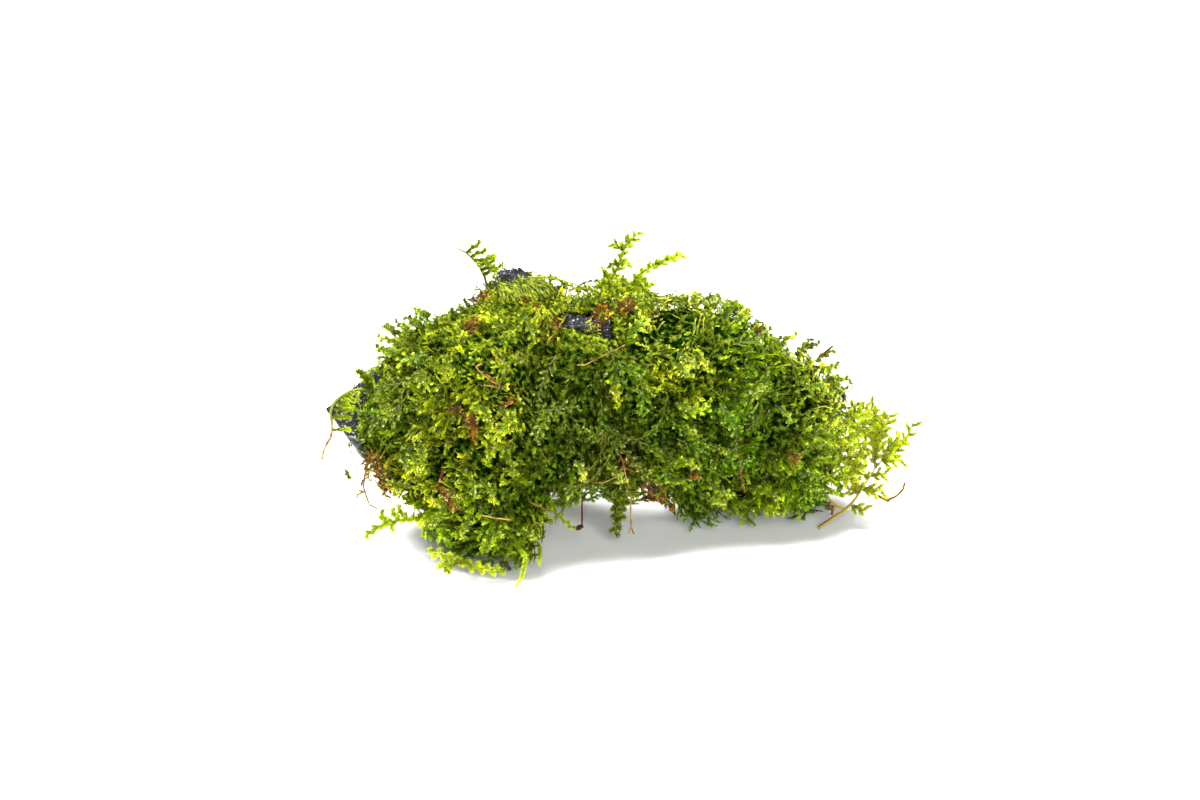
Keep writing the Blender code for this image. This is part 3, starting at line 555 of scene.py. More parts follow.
# Single green shoots that stand out from the others, in front, at the top and along the
# outline: the green, leaf length in mm, and places
SINGLE_SHOOTS = (
    ("yellow", 1.3, (-45.4, 2.4), (-46.6, 4.2), (-48.4, 6, -3)),
    ("yellow", 1.0, (2.2, 4.8), (3, 2), (3.8, -1)),
    ("olive", 0.9, (1.6, -12.4), (3, -14.4), (4.6, -16.4)),
    ("fresh", 0.7, (-51, -13.9, -6), (-50.4, -14.6, -6), (-50.3, -15.8, -6)),
    ("fresh", 0.5, (-46.8, -18.2, -6), (-47.8, -18.6, -6), (-48.8, -18.9, -6)),
    ("yellow", 1.0, (-30, -32.6, -23), (-31, -33.6, -23), (-30, -34.4, -23)),
    # These two shoots by the lobe's foot take the deep green as painted shade, where they lie in its
    # shadow
    ("deep", 0.9, (38, -19.4, 4), (42, -20, 3), (45.6, -21.2, 3)),
    ("deep", 0.9, (39, -17.8, 4), (41.4, -19, 3), (43, -19.4, 3)),
    ("fresh", 1.0, (47.4, -15.6, 3), (47.8, -17.4, 3), (48, -19.2, 3)),
    ("yellow", 0.8, (-10.4, 14.6), (-10.8, 16.6), (-11.4, 18.6)),
    ("yellow", 0.8, (-13.6, 14), (-12.8, 16), (-12.4, 18)),
    ("fresh", 0.8, (-15.8, 16), (-15, 17.6), (-13.6, 19)),
    ("yellow", 0.8, (-9.4, 17.6), (-8, 19), (-6, 20.2)),
    ("fresh", 0.8, (-6, 18.8), (-4.4, 20), (-2.4, 20.8)),
    ("yellow", 0.8, (-1.6, 19.4), (-0.4, 20.6), (1.6, 21.6)),
    ("yellow", 0.8, (2, 18.8), (3.4, 20), (5.4, 20.6)),
    ("yellow", 0.8, (7, 17), (8.6, 18.6), (10.4, 19.8)),
    ("fresh", 0.8, (-20, 11), (-18.6, 13), (-16.4, 14.6)),
    ("yellow", 0.9, (-24, -1), (-22.4, -3.4), (-21.6, -6)),
    ("yellow", 0.9, (-20, -1.4), (-18.6, -3.6), (-18.4, -6.4)),
    ("olive", 0.8, (18.6, 18), (18.8, 20), (19.4, 21.4)),
    ("olive", 0.8, (21, 20), (22.4, 20.8), (24, 20.6)),
    ("fresh", 0.8, (24.6, 16.4), (25.8, 18.4), (27.4, 19.4)),
    ("olive", 0.8, (27, 15.6), (28.6, 17), (29.8, 17.6)),
    ("fresh", 0.8, (30.4, 12), (32.4, 13.2), (34.4, 14.2)),
    ("fresh", 0.8, (33, 11), (35, 12), (37, 12.4)),
    ("yellow", 0.8, (36, 11), (37.4, 12.4), (39.4, 13)),
    ("yellow", 0.8, (39, 9), (41, 11), (42.2, 12.4)),
    ("fresh", 0.8, (40, 9.6), (42, 10.8), (44, 11.4)),
    ("fresh", 0.8, (43, 7.6), (45, 9.2), (46.8, 10)),
    ("yellow", 0.8, (44, 5.6), (46.4, 6.8), (47.6, 7)),
    ("fresh", 0.8, (45, 3.6), (47.6, 4.4), (50.2, 4)),
    ("fresh", 0.8, (45.6, 1.6), (47.6, 2.4), (49.6, 2.2)),
    ("fresh", 0.8, (-34, 16.6), (-35.4, 17.4), (-37, 17.8)),
    ("fresh", 0.8, (-36, 15), (-37.4, 16), (-39, 16.6)),
    ("fresh", 0.8, (-38.4, 14), (-39.6, 15), (-41, 15.6)),
    ("fresh", 0.8, (-40, 13), (-41.6, 14.2), (-43, 15)),
    ("yellow", 0.8, (-40, 11), (-42, 12), (-44.4, 12.6)),
    ("fresh", 0.8, (-41, 9), (-42.6, 10), (-44.6, 10.4)),
    ("lime", 0.8, (15.6, -5), (17.8, -6), (19.8, -7.6)),
    ("lime", 0.8, (15, -0.6), (17, -1), (19, -2.6)),
    ("lime", 0.8, (28, -0.6), (30.6, 0.8), (33.6, 2.6)),
    ("lime", 0.8, (29, 1.6), (31, 2.8), (34, 2.4)),
    ("olive", 0.8, (15.4, 9.6), (17.6, 8.4), (19, 6.4)),
    ("olive", 0.8, (18.6, 9.8), (20.6, 8), (21.8, 5.6)),
    ("olive", 0.8, (14.4, 7.6), (16.6, 6.4), (18, 4.6)),
    ("lime", 0.8, (21.6, -16.4), (24, -18), (26.4, -19.4)),
    ("lime", 0.8, (20, -18.6), (22.4, -20), (25, -21)),
    ("fresh", 0.8, (30, -17.6), (33, -18.4), (36, -19.6)),
    ("lime", 0.8, (14.4, -12), (17, -12.2), (19.6, -13.6)),
    ("lime", 0.8, (13, -15.6), (15.6, -16), (18, -17.4)),
    ("fresh", 0.8, (40, -14.6), (43, -15), (46.4, -15.8)),
    ("fresh", 0.8, (22, -9), (24.4, -10), (26.6, -11.6)),
    ("fresh", 0.8, (35, -1), (37, -2.4), (38.4, -4.4)),
    ("fresh", 0.8, (40, 4.6), (41.6, 3), (42.6, 1)),
    ("lime", 0.9, (-38.6, -9.6), (-37, -12), (-36.6, -14.8)),
    ("lime", 0.9, (-36, -9), (-35.4, -11.6), (-35.6, -14.4)),
    ("lime", 0.9, (-40, -11), (-38.6, -13), (-38.4, -15)),
    ("lime", 0.8, (-26, -0.6), (-24.6, -2), (-22, -2.6)),
    ("fresh", 0.8, (-19, -2), (-17.4, -3.6), (-16.6, -6)),
    ("fresh", 0.8, (-22.4, -6), (-22, -9.6), (-22.6, -13)),
    ("fresh", 0.8, (-20, -10), (-18, -12), (-17, -15)),
    ("lime", 0.8, (-27, -14), (-25.4, -16.4), (-25, -19.4)),
    ("lime", 0.8, (-24, -16), (-22, -18), (-21, -20.6)),
    ("lime", 0.8, (-31, -21), (-32.4, -23.6), (-34.4, -25.4)),
    ("lime", 0.8, (-26, -22.6), (-26.6, -25), (-28, -27.6)),
    ("fresh", 0.8, (-21.6, -26), (-22.4, -28.6), (-23.6, -31)),
    ("fresh", 0.8, (-17, -26), (-14.6, -26.4), (-12.8, -27.6)),
    ("lime", 0.8, (-34, 8), (-32, 6.4), (-30.6, 4)),
    ("lime", 0.8, (-31, 9), (-30, 7), (-29.6, 4.6)),
    ("olive", 0.8, (-44.6, 0.6), (-43, -1.4), (-42.4, -3.6)),
    ("olive", 0.8, (-5, -12), (-3.6, -14), (-3, -16.4)),
)

# Leafy bits that are laid on the cushion: each piece's slot, its rows, the leaves' spacing and
# the side shoots' reach in mm, how strong its colours are, and its leaves
LAID_BITS = {
    "dead_bits": ("dry_strand", DEAD_BITS, 0.1, 1.4, 1, "dead_leaves"),
    "single_shoots": ("fresh_shoot", SINGLE_SHOOTS, 0.06, 1.2, 0.68, "single_shoots"),
}

# How far in mm the bits and fibres lie off the surface, and how broad their patches of tint are
LAID_LIFT = 0.3
LAID_PATCH = 2

# The stage, in metres: the lamps' places and sizes, where they point, and the floor's radius
KEY_PLACE = (-0.28, 0.02, 0.87)
KEY_SIZE = 0.75
FRONT_PLACE = (0.2, -1.0, 0.4)
FRONT_SIZE = 0.6
LIT_PLACE = (0, 0, 0.025)
FLOOR_RADIUS = 4

# The camera's lens and film width in mm
LENS = 135
FILM_WIDTH = 36


class MossSettings(bpy.types.PropertyGroup):
    spacing: bpy.props.FloatProperty(
        name="Shoot spacing", description="Least gap between two shoot tips",
        default=1.22 * MM, min=0.5 * MM, unit="LENGTH")
    mat_depth: bpy.props.FloatProperty(
        name="Mat depth", description="How far the dark mat lies under the shoot tips",
        default=3.8 * MM, min=0, unit="LENGTH")
    leaf_length: bpy.props.FloatProperty(
        name="Leaf length", description="Length of a full-grown leaf",
        default=0.85 * MM, min=0.2 * MM, unit="LENGTH")
    seed: bpy.props.IntProperty(
        name="Seed", description="Draws another growth of the same moss", default=5)


class StageSettings(bpy.types.PropertyGroup):
    floor: bpy.props.FloatVectorProperty(
        name="Floor colour", description="Colour of the plain floor",
        default=(0.95, 0.95, 0.95), subtype="COLOR", size=3, min=0, max=1)
    key: bpy.props.FloatProperty(
        name="Key light", description="Power of the softbox above", default=47, unit="POWER")
    fill: bpy.props.FloatProperty(
        name="Fill light", description="Power of the softbox in front", default=18, unit="POWER")
    ambient: bpy.props.FloatProperty(
        name="Ambient light", description="Strength of the white surroundings", default=0.13)


class Wire:
    """A node's output. Sums written on it add the nodes that work them out."""

    def __init__(self, tree, socket):
        self.tree = tree
        self.socket = socket

    def other(self, name):
        """Another output of the same node."""
        return Wire(self.tree, shown(self.socket.node.outputs, name))

    def is_vector(self):
        return self.socket.type in ("VECTOR", "RGBA")

    def maths(self, operation, *others):
        family = "ShaderNodeVectorMath" if self.is_vector() else "ShaderNodeMath"
        return add(self.tree, family, {"operation": operation}, self, *others)

    def __add__(self, other):
        return self.maths("ADD", other)

    def __sub__(self, other):
        return self.maths("SUBTRACT", other)

    def __rsub__(self, other):
        return self * -1 + other

    def __mul__(self, other):
        if self.is_vector() and not (isinstance(other, Wire) and other.is_vector()):
            return add(self.tree, "ShaderNodeVectorMath", {"operation": "SCALE"}, self, Scale=other)
        return self.maths("MULTIPLY", other)

    def __pow__(self, other):
        return self.maths("POWER", other)

    def __gt__(self, other):
        return self.maths("GREATER_THAN", other)

    def __lt__(self, other):
        return self.maths("LESS_THAN", other)

    __radd__ = __add__
    __rmul__ = __mul__


def shown(sockets, name):
    """The socket of that name that is in use, where a node has one for each kind of value."""
    return next(socket for socket in sockets if socket.name == name and socket.enabled)


def give(tree, socket, value):
    """Links a wire to the socket, or sets the socket to a value."""
    if isinstance(value, Wire):
        tree.links.new(value.socket, socket)
    elif value is not None:
        socket.default_value = value


def add(tree, kind, settings=None, *values, **named_values):
    """Adds a node: its settings first, then the values or links of its sockets."""
    node = tree.nodes.new(kind)
    for name, value in (settings or {}).items():
        if name == "stops":
            set_stops(node.color_ramp, value)
        else:
            setattr(node, name, value)
    for socket, value in zip(node.inputs, values):
        give(tree, socket, value)
    for name, value in named_values.items():
        give(tree, shown(node.inputs, name.replace("_", " ")), value)
    return Wire(tree, next((socket for socket in node.outputs if socket.enabled), None))


def set_stops(ramp, stops):
    """Gives a colour ramp its stops, each a position and a colour."""
    while len(ramp.elements) < len(stops):
        ramp.elements.new(1)
    for element, (position, shade) in zip(ramp.elements, stops):
        element.position = position
        element.color = (*shade, 1)


def node_group(name, **inputs):
    """An empty geometry node group. Gives the group, its inputs as wires, and its output."""
    tree = bpy.data.node_groups.new(name, "GeometryNodeTree")
    tree.interface.new_socket("Geometry", in_out="OUTPUT", socket_type="NodeSocketGeometry")
    tree.interface.new_socket("Geometry", in_out="INPUT", socket_type="NodeSocketGeometry")
    for label, kind in inputs.items():
        tree.interface.new_socket(
            label.replace("_", " "), in_out="INPUT", socket_type="NodeSocket" + kind)
    inside = tree.nodes.new("NodeGroupInput")
    result = tree.nodes.new("NodeGroupOutput")
    return tree, [Wire(tree, socket) for socket in inside.outputs if socket.name], result.inputs[0]


def finish_group(tree, geometry, material, output):
    """Ends a group as real meshes of one material."""
    real = add(tree, "GeometryNodeRealizeInstances", None, geometry)
    give(tree, output, add(tree, "GeometryNodeSetMaterial", None, real, Material=material))


def stored(tree, geometry, name, value, domain):
    settings = {"data_type": "FLOAT", "domain": domain}
    return add(tree, "GeometryNodeStoreNamedAttribute", settings, geometry, Name=name, Value=value)


def named(tree, name, kind):
    return add(tree, "GeometryNodeInputNamedAttribute", {"data_type": kind}, Name=name)


def drawn(tree, low, high, seed, kind="FLOAT"):
    """A random value for each item."""
    return add(tree, "FunctionNodeRandomValue", {"data_type": kind}, Min=low, Max=high, Seed=seed)


def evaluated_mesh(obj):
    """What the object looks like with its modifiers or its curve's thickness, as a plain mesh."""
    bpy.context.view_layer.update()
    graph = bpy.context.evaluated_depsgraph_get()
    return bpy.data.meshes.new_from_object(obj.evaluated_get(graph))


def run_group(obj, tree, **values):
    """Runs the group on the object, and gives the result as a plain mesh."""
    modifier = obj.modifiers.new(tree.name, "NODES")
    modifier.node_group = tree
    for item in tree.interface.items_tree:
        label = item.name.replace(" ", "_")
        if item.in_out == "INPUT" and label in values:
            modifier[item.identifier] = values[label]
    mesh = evaluated_mesh(obj)
    obj.modifiers.remove(modifier)
    return mesh


def new_object(name, data):
    obj = bpy.data.objects.new(name, data)
    bpy.context.scene.collection.objects.link(obj)
    return obj


def piece(name, mesh, slot, *nodes):
    """A finished piece of the clump, which stands for the named CAD nodes."""
    mesh.name = name
    obj = new_object(name, mesh)
    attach(obj, BODY)
    if nodes:
        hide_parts(*nodes)
    return obj


def merged_copy(node, level=0):
    """A copy of a CAD node's mesh with its corners joined, cut finer level times."""
    bm = bmesh.new()
    bm.from_mesh(frame["nodes"][node].data)
    bmesh.ops.remove_doubles(bm, verts=bm.verts, dist=SAME_CORNER)
    for _ in range(level):
        bmesh.ops.subdivide_edges(bm, edges=bm.edges[:], cuts=1, use_grid_fill=True)
        bmesh.ops.triangulate(bm, faces=bm.faces)
    bm.normal_update()
    return bm


def plain_mesh(bm, name):
    mesh = bpy.data.meshes.new(name)
    bm.to_mesh(mesh)
    bm.free()
    return mesh


def paint(mesh, name, values):
    """Gives a mesh a colour at each point."""
    layer = mesh.attributes.new(name, "FLOAT_COLOR", "POINT")
    layer.data.foreach_set("color", values)


def mark(mesh, name, values):
    """Gives a mesh a number at each point, or a direction where there are three for each."""
    if len(values) == len(mesh.vertices):
        mesh.attributes.new(name, "FLOAT", "POINT").data.foreach_set("value", values)
    else:
        mesh.attributes.new(name, "FLOAT_VECTOR", "POINT").data.foreach_set("vector", values)


# Materials

def new_material(name):
    material = bpy.data.materials.new(name)
    material.use_nodes = True
    tree = material.node_tree
    tree.nodes.clear()
    return material, tree


def attribute(tree, name):
    return add(tree, "ShaderNodeAttribute", {"attribute_name": name}).other("Fac")


def blended(tree, factor, first, second, how="MIX"):
    settings = {"data_type": "RGBA", "blend_type": how}
    return add(tree, "ShaderNodeMix", settings, Factor=factor, A=first, B=second)


def colour(value):
    return (*value, 1)


def object_place(tree):
    """Where a point of the piece lies, so that a pattern stays on it."""
    return add(tree, "ShaderNodeTexCoord").other("Object")


def cell_chance(cells):
    """A number for each cell of a cell pattern, from 0 to 1.8 and the same all over the cell."""
    return cells.other("Color").maths("DOT_PRODUCT", (0.6, 0.6, 0.6)).other("Value")


def leaf_material(kind, own_wood=None):
    """Leaves: their own tint, dark and brown towards the stem's base from age and painted shade,
    pale at each leaf's tip, with painted shade between tiny leaves and painted glints, and lit
    through where they are young. Their stem may have a colour of its own."""
    glow, glow_share, base_darkening, wood = LEAF_LOOKS[kind]
    material, tree = new_material(f"{kind}_{own_wood}" if own_wood else kind)
    tint = add(tree, "ShaderNodeAttribute", {"attribute_name": "tint"})
    along = attribute(tree, "along")
    tone = attribute(tree, "tone")
    blade = attribute(tree, "blade")
    fleck = attribute(tree, "fleck")
    woody = attribute(tree, "woody")
    strength = blended(tree, tone, colour(SHADED), colour(SUNLIT))
    grown = blended(tree, 1, tint, strength, "MULTIPLY")
    # Near-black green towards the base of each shoot: old leaves, and painted shade deep in the moss
    old = blended(tree, 1, grown, colour(WITHERED_AND_SHADED), "MULTIPLY")
    aged_and_shaded = blended(tree, along ** base_darkening, old, grown)
    cells = add(tree, "ShaderNodeTexVoronoi", None, object_place(tree), Scale=LEAF_CELLS)
    # Each leaf is paler at its tip, darker at its base as painted shade, varied at random, and
    # darker towards the edges of small cells as painted shade between tiny leaves
    light = (blade * 0.8 + 0.6) * (fleck * 0.7 + 0.65) * (1.75 - cells * 1.6)
    # Pale glints painted into the leaf colour on small cell spots, which also get a real glossy coat
    wet_glints = (cell_chance(cells) > WET_GLINT_CHANCE) * (cells < WET_GLINT_SIZE) * along * (1 - woody)
    pale = blended(tree, wet_glints * 0.8, aged_and_shaded * light, colour(PAINTED_WET_GLINT))
    base = blended(tree, woody, pale, colour(WOODS[own_wood or wood]))
    shine = add(tree, "ShaderNodeBsdfPrincipled", None, Base_Color=base, Specular_IOR_Level=0.06,
                Roughness=0.4, Coat_Weight=wet_glints * 0.4, Coat_Roughness=0.2)
    through = add(tree, "ShaderNodeBsdfTranslucent", None, Color=colour(glow))
    share = along * glow_share * (1 - woody)
    leaf = add(tree, "ShaderNodeMixShader", None, share, shine, through)
    add(tree, "ShaderNodeOutputMaterial", None, leaf)
    return material


def mat_material():
    """The inside of the moss: dead brown shoots and crumbs, near black as painted shade where it
    lies deep, and paler felt where it lies thin.
    """
    material, tree = new_material("moss_mat")
    place = object_place(tree)
    crumbs = add(tree, "ShaderNodeTexNoise", None, place, Scale=900, Detail=3)
    # Near-black crumbs: partly dead shoots, mostly painted shade deep under the shoots
    deep_shades = {"stops": ((0.42, (0.001, 0.003, 0.0002)), (0.52, (0.008, 0.022, 0.001)),
                             (0.6, (0.05, 0.075, 0.005)), (0.7, (0.14, 0.12, 0.015)))}
    deep = add(tree, "ShaderNodeValToRGB", deep_shades, crumbs)
    felt = add(tree, "ShaderNodeTexNoise", None, place, Scale=1600, Detail=2)
    thin_shades = {"stops": ((0.4, (0.006, 0.009, 0.001)), (0.55, (0.09, 0.12, 0.006)),
                             (0.7, (0.30, 0.32, 0.02)))}
    thin = add(tree, "ShaderNodeValToRGB", thin_shades, felt)
    base = blended(tree, attribute(tree, "thin"), deep, thin)
    bump = add(tree, "ShaderNodeBump", None, Strength=0.8, Distance=0.4 * MM, Height=crumbs)
    shader = add(tree, "ShaderNodeBsdfPrincipled", None, Base_Color=base, Roughness=1,
                 Specular_IOR_Level=0, Normal=bump)
    add(tree, "ShaderNodeOutputMaterial", None, shader)
    return material


def stone_material():
    """Dark granular stone: blue-black grains, pale painted glints, greyer faces that look down and
    an earthy film.
    """
    material, tree = new_material("stone_rough")
    place = object_place(tree)
    grains = add(tree, "ShaderNodeTexVoronoi", None, place, Scale=3600)
    fine = add(tree, "ShaderNodeTexNoise", None, place, Scale=1500, Detail=4)
    broad = add(tree, "ShaderNodeTexNoise", None, place, Scale=160, Detail=3)
    shades = {"stops": ((0.46, (0.001, 0.001, 0.0012)), (0.58, (0.008, 0.008, 0.011)),
                        (0.68, (0.07, 0.068, 0.08)))}
    dark = add(tree, "ShaderNodeValToRGB", shades, fine)
    film = blended(tree, (broad - 0.55) * 2, dark, colour(EARTH))
    # Pale spots painted as glints on single grains, which are also less rough
    specks = cell_chance(grains) > SPECK_CHANCE
    # Faces that look down are greyer where the fine noise is high
    greyed_below = blended(tree, attribute(tree, "worn") * fine * 1.6, film, colour(DOWN_FACE_GREY))
    base = blended(tree, specks * 0.6, greyed_below, colour(PAINTED_GLINT))
    bump = add(tree, "ShaderNodeBump", None, Strength=1, Distance=0.4 * MM,
               Height=fine * 0.8 + grains * -0.4)
    shader = add(tree, "ShaderNodeBsdfPrincipled", None, Base_Color=base, Specular_IOR_Level=0.25,
                 Roughness=0.6 - specks * 0.3, Normal=bump)
    add(tree, "ShaderNodeOutputMaterial", None, shader)
    return material


def strand_material(name, pale, dark):
    """A bare strand, blotched along its length."""
    material, tree = new_material(name)
    blotches = add(tree, "ShaderNodeTexNoise", None, object_place(tree), Scale=900, Detail=2)
    base = blended(tree, (blotches - 0.35) * 3, colour(dark), colour(pale))
    bump = add(tree, "ShaderNodeBump", None, Strength=0.4, Distance=0.1 * MM, Height=blotches)
    shader = add(tree, "ShaderNodeBsdfPrincipled", None, Base_Color=base, Roughness=0.5,
                 Specular_IOR_Level=0.1, Normal=bump)
    add(tree, "ShaderNodeOutputMaterial", None, shader)
    return material


# Leaves and strands

def leaf_object(width, curl):
    """A pointed leaf of unit length, up from its base. Its tip bends towards +Y, and its blade is
    marked from 0 at the base to 1 at the tip."""
    bm = bmesh.new()
    blade = bm.verts.layers.float.new("blade")
    corners = []
    for place, share in (((-width / 2, 0, 0), 0), ((width / 2, 0, 0), 0), ((0, curl, 1), 1)):
        corner = bm.verts.new(place)
        corner[blade] = share
        corners.append(corner)
    bm.faces.new(corners)
    return new_object("leaf", plain_mesh(bm, "leaf"))


def strand_group():
    """Leaves in two rows along the strands of a curve, whose radius is the size of the leaves
    there. They spread round the stem from its facing side, aside share of the way or more, and
    with flatness their blades all turn to that side, as on a flattened shoot. Fullness is the
    share of the leaves that still sit at the base."""
    tree, inputs, output = node_group(
        "Leafy strand", Leaf="Object", Leaf_length="Float", Leaf_spacing="Float", Opening="Float",
        Fullness="Float", Aside="Float", Spread="Float", Flatness="Float", Facing="Vector",
        Stem_radius="Float", Seed="Int", Material="Material")
    (curve, leaf, length, spacing, opening, fullness, aside, spread, flatness, facing, thick,
     seed, material) = inputs
    along = add(tree, "GeometryNodeSplineParameter")
    points = add(tree, "GeometryNodeResampleCurve", {"mode": "LENGTH"}, curve, Length=spacing)
    points = stored(tree, points, "along", along, "POINT")
    points = stored(tree, points, "fleck", drawn(tree, 0.0, 1.0, seed), "POINT")
    tangent = add(tree, "GeometryNodeInputTangent")
    axes = {"primary_axis": "Z", "secondary_axis": "Y"}
    turned = add(tree, "FunctionNodeAxesToRotation", axes, tangent, facing)
    side = (add(tree, "GeometryNodeInputIndex") * math.pi).maths("COSINE")
    spin = side * drawn(tree, aside, 1.0, seed + 1) * spread
    tilt = opening * drawn(tree, -1.2, -0.8, seed + 2) * (1.15 - along * 0.45)
    twist = spin * flatness * -1 + drawn(tree, -0.25, 0.25, seed + 4)
    for axis, angle in (("Z", spin), ("X", tilt), ("Z", twist)):
        euler = add(tree, "ShaderNodeCombineXYZ", None, **{axis: angle})
        step = add(tree, "FunctionNodeEulerToRotation", None, euler)
        turned = add(tree, "FunctionNodeRotateRotation", {"rotation_space": "LOCAL"}, turned, step)
    size = drawn(tree, 0.8, 1.2, seed + 3) * length * add(tree, "GeometryNodeInputRadius")
    shape = add(tree, "GeometryNodeObjectInfo", None, leaf, As_Instance=True).other("Geometry")
    kept = drawn(tree, 0.0, 1.0, seed + 5) < along * 1.6 + fullness
    leaves = add(tree, "GeometryNodeInstanceOnPoints", None, points, Selection=kept,
                 Instance=shape, Rotation=turned, Scale=size)
    ring = add(tree, "GeometryNodeCurvePrimitiveCircle", {"mode": "RADIUS"}, Resolution=3,
               Radius=thick)
    coarse = add(tree, "GeometryNodeResampleCurve", {"mode": "LENGTH"}, curve, Length=STEM_RING_GAP)
    coarse = stored(tree, coarse, "along", along, "POINT")
    stem = add(tree, "GeometryNodeCurveToMesh", None, coarse, ring, Scale=1 - along * 0.5)
    stem = stored(tree, stem, "woody", 1.0, "POINT")
    both = add(tree, "GeometryNodeJoinGeometry", None, leaves)
    tree.links.new(stem.socket, both.socket.node.inputs[0])
    finish_group(tree, both, material, output)
    return tree


def strands_curve(name, strands):
    """A curve object with a spline for each strand: points in metres, each with a leaf size."""
    curve = bpy.data.curves.new(name, "CURVE")
    curve.dimensions = "3D"
    for strand in strands:
        line = curve.splines.new("NURBS")
        line.order_u = 3
        line.use_endpoint_u = True
        line.resolution_u = 4
        line.points.add(len(strand) - 1)
        for point, (place, size) in zip(line.points, strand):
            point.co = (*place, 1)
            point.radius = size
    return new_object(name, curve)


def sized(places, sizes):
    """Gives each place of a strand its leaf size, from those of its base, middle and tip."""
    base, middle, tip = sizes
    strand = []
    for index, place in enumerate(places):
        along = 2 * index / (len(places) - 1)
        if along < 1:
            size = base + (middle - base) * along
        else:
            size = middle + (tip - middle) * (along - 1)
        strand.append((place, size))
    return strand


# Kinds of shoots. All end at the origin and point up, with +Y as their outer side.

def stem_line(length, dip, sway):
    """An arched stem: its base lies deeper by the dip, and its middle sways aside."""
    places = []
    for step in range(STEM_STEPS):
        t = step / (STEM_STEPS - 1)
        side = sway * math.sin(math.pi * t)
        places.append(Vector((side, -dip * (1 - t) ** 2, -length * (1 - t))) * MM)
    return places


def side_shoot(parent, start, side, reach):
    """A shoot that leaves its parent stem at the start, 0 at the base and 1 at the tip."""
    at = start * (STEM_STEPS - 1)
    low = min(int(at), STEM_STEPS - 2)
    base = parent[low].lerp(parent[low + 1], at - low)
    end = base + Vector((side * 0.72, -0.12, 0.69)) * reach * MM
    return sized([base, base.lerp(end, 0.5) + Vector((0, 0.15, 0)) * MM, end], (0.7, 0.9, 0.5))


def shoot(length, dip, sway, sizes=(0.6, 1.0, 0.6), branches=0, reach=2.5):
    main = stem_line(length, dip, sway)
    strands = [sized(main, sizes)]
    for number in range(branches):
        start = 0.35 + 0.45 * number / max(branches - 1, 1)
        side = 1 if number % 2 else -1
        strands.append(side_shoot(main, start, side, reach * (1.2 - 0.5 * start)))
    return strands


# Strands, leaf length as a share of the full one, leaf spacing in mm, opening, spread, flatness
SHOOT_KINDS = {
    "a feather": (shoot(6.5, 2.2, 0.4, branches=6, reach=2.4), 0.7, 0.12, 0.9, 1.5, 0.8),
    "b plume": (shoot(5.6, 2, -0.6, (0.6, 1.1, 0.8)), 1.1, 0.065, 0.95, 1.5, 0.7),
    "c plume": (shoot(6.2, 2.3, 0.9, (0.5, 1.0, 0.8)), 1.0, 0.07, 0.9, 1.5, 0.8),
    "d plume": (shoot(6, 2.2, -1.1, (0.5, 1.0, 0.8)), 1.05, 0.07, 0.95, 1.5, 0.8),
    "e short": (shoot(4.8, 2, 0.5, (0.5, 1.1, 0.9)), 1.1, 0.06, 1.0, 1.5, 0.6),
    "f forked": (shoot(6, 2.2, 0.6, branches=2, reach=3.2), 0.9, 0.09, 0.9, 1.5, 0.8),
    "g thread": (shoot(7, 2.2, 1.6, (0.8, 0.9, 0.6)), 0.95, 0.08, 0.8, 1.7, 0.4),
    "h thread": (shoot(6.5, 1.8, -1.8, branches=4, reach=3), 0.85, 0.12, 0.8, 1.7, 0.4),
}
LUSH_KINDS = 6


def shoots_collection(strands_tree, leaf, settings):
    """One shoot of each kind, in a collection to draw from."""
    collection = bpy.data.collections.new("Shoots")
    bpy.context.scene.collection.children.link(collection)
    for number, (name, kind) in enumerate(SHOOT_KINDS.items()):
        strands, size, spacing, opening, spread, flatness = kind
        line = strands_curve(name, strands)
        mesh = run_group(
            line, strands_tree, Leaf=leaf, Leaf_length=settings.leaf_length * size,
            Leaf_spacing=spacing * MM, Opening=opening, Fullness=0.3, Aside=0.4,
            Spread=spread, Flatness=flatness, Facing=(0, 1, 0), Stem_radius=SHOOT_STEM * MM,
            Seed=settings.seed + number)
        bpy.data.objects.remove(line)
        collection.objects.link(bpy.data.objects.new(f"shoot {name}", mesh))
    return collection


def lying_way(tree, place, outward, spread, seed):
    """Which way a shoot lies along its surface: as the surface leans it, as its neighbours are
    combed, and a little at random."""
    lean = named(tree, "lean", "FLOAT_VECTOR")
    combed = add(tree, "ShaderNodeTexNoise", None, place, Scale=COMB_SCALE, Detail=1)
    loose = drawn(tree, (-LOOSENESS,) * 3, (LOOSENESS,) * 3, seed, "FLOAT_VECTOR")
    way = lean + (combed.other("Color") - (0.5, 0.5, 0.5)) * spread + loose
    flat = way - outward * way.maths("DOT_PRODUCT", outward).other("Value")
    return flat.maths("NORMALIZE")


def shoot_kind(tree, seed):
    """The number of a shoot's kind, drawn from the thready ones or else from the lush ones."""
    thready = drawn(tree, 0.0, 1.0, seed) < named(tree, "thready", "FLOAT")
    lush = drawn(tree, 0, LUSH_KINDS - 1, seed + 1, "INT")
    fine = drawn(tree, LUSH_KINDS, len(SHOOT_KINDS) - 1, seed + 2, "INT")
    return lush + (fine - lush) * thready


def kept_above_ground(tree, geometry, place):
    """Lifts what would sink into the surface that the clump stands on."""
    sunk = LOWEST_LEAF * MM - add(tree, "ShaderNodeSeparateXYZ", None, place).other("Z")
    rise = add(tree, "ShaderNodeCombineXYZ", None, Z=sunk.maths("MAXIMUM", 0))
    return add(tree, "GeometryNodeSetPosition", None, geometry, Offset=rise)


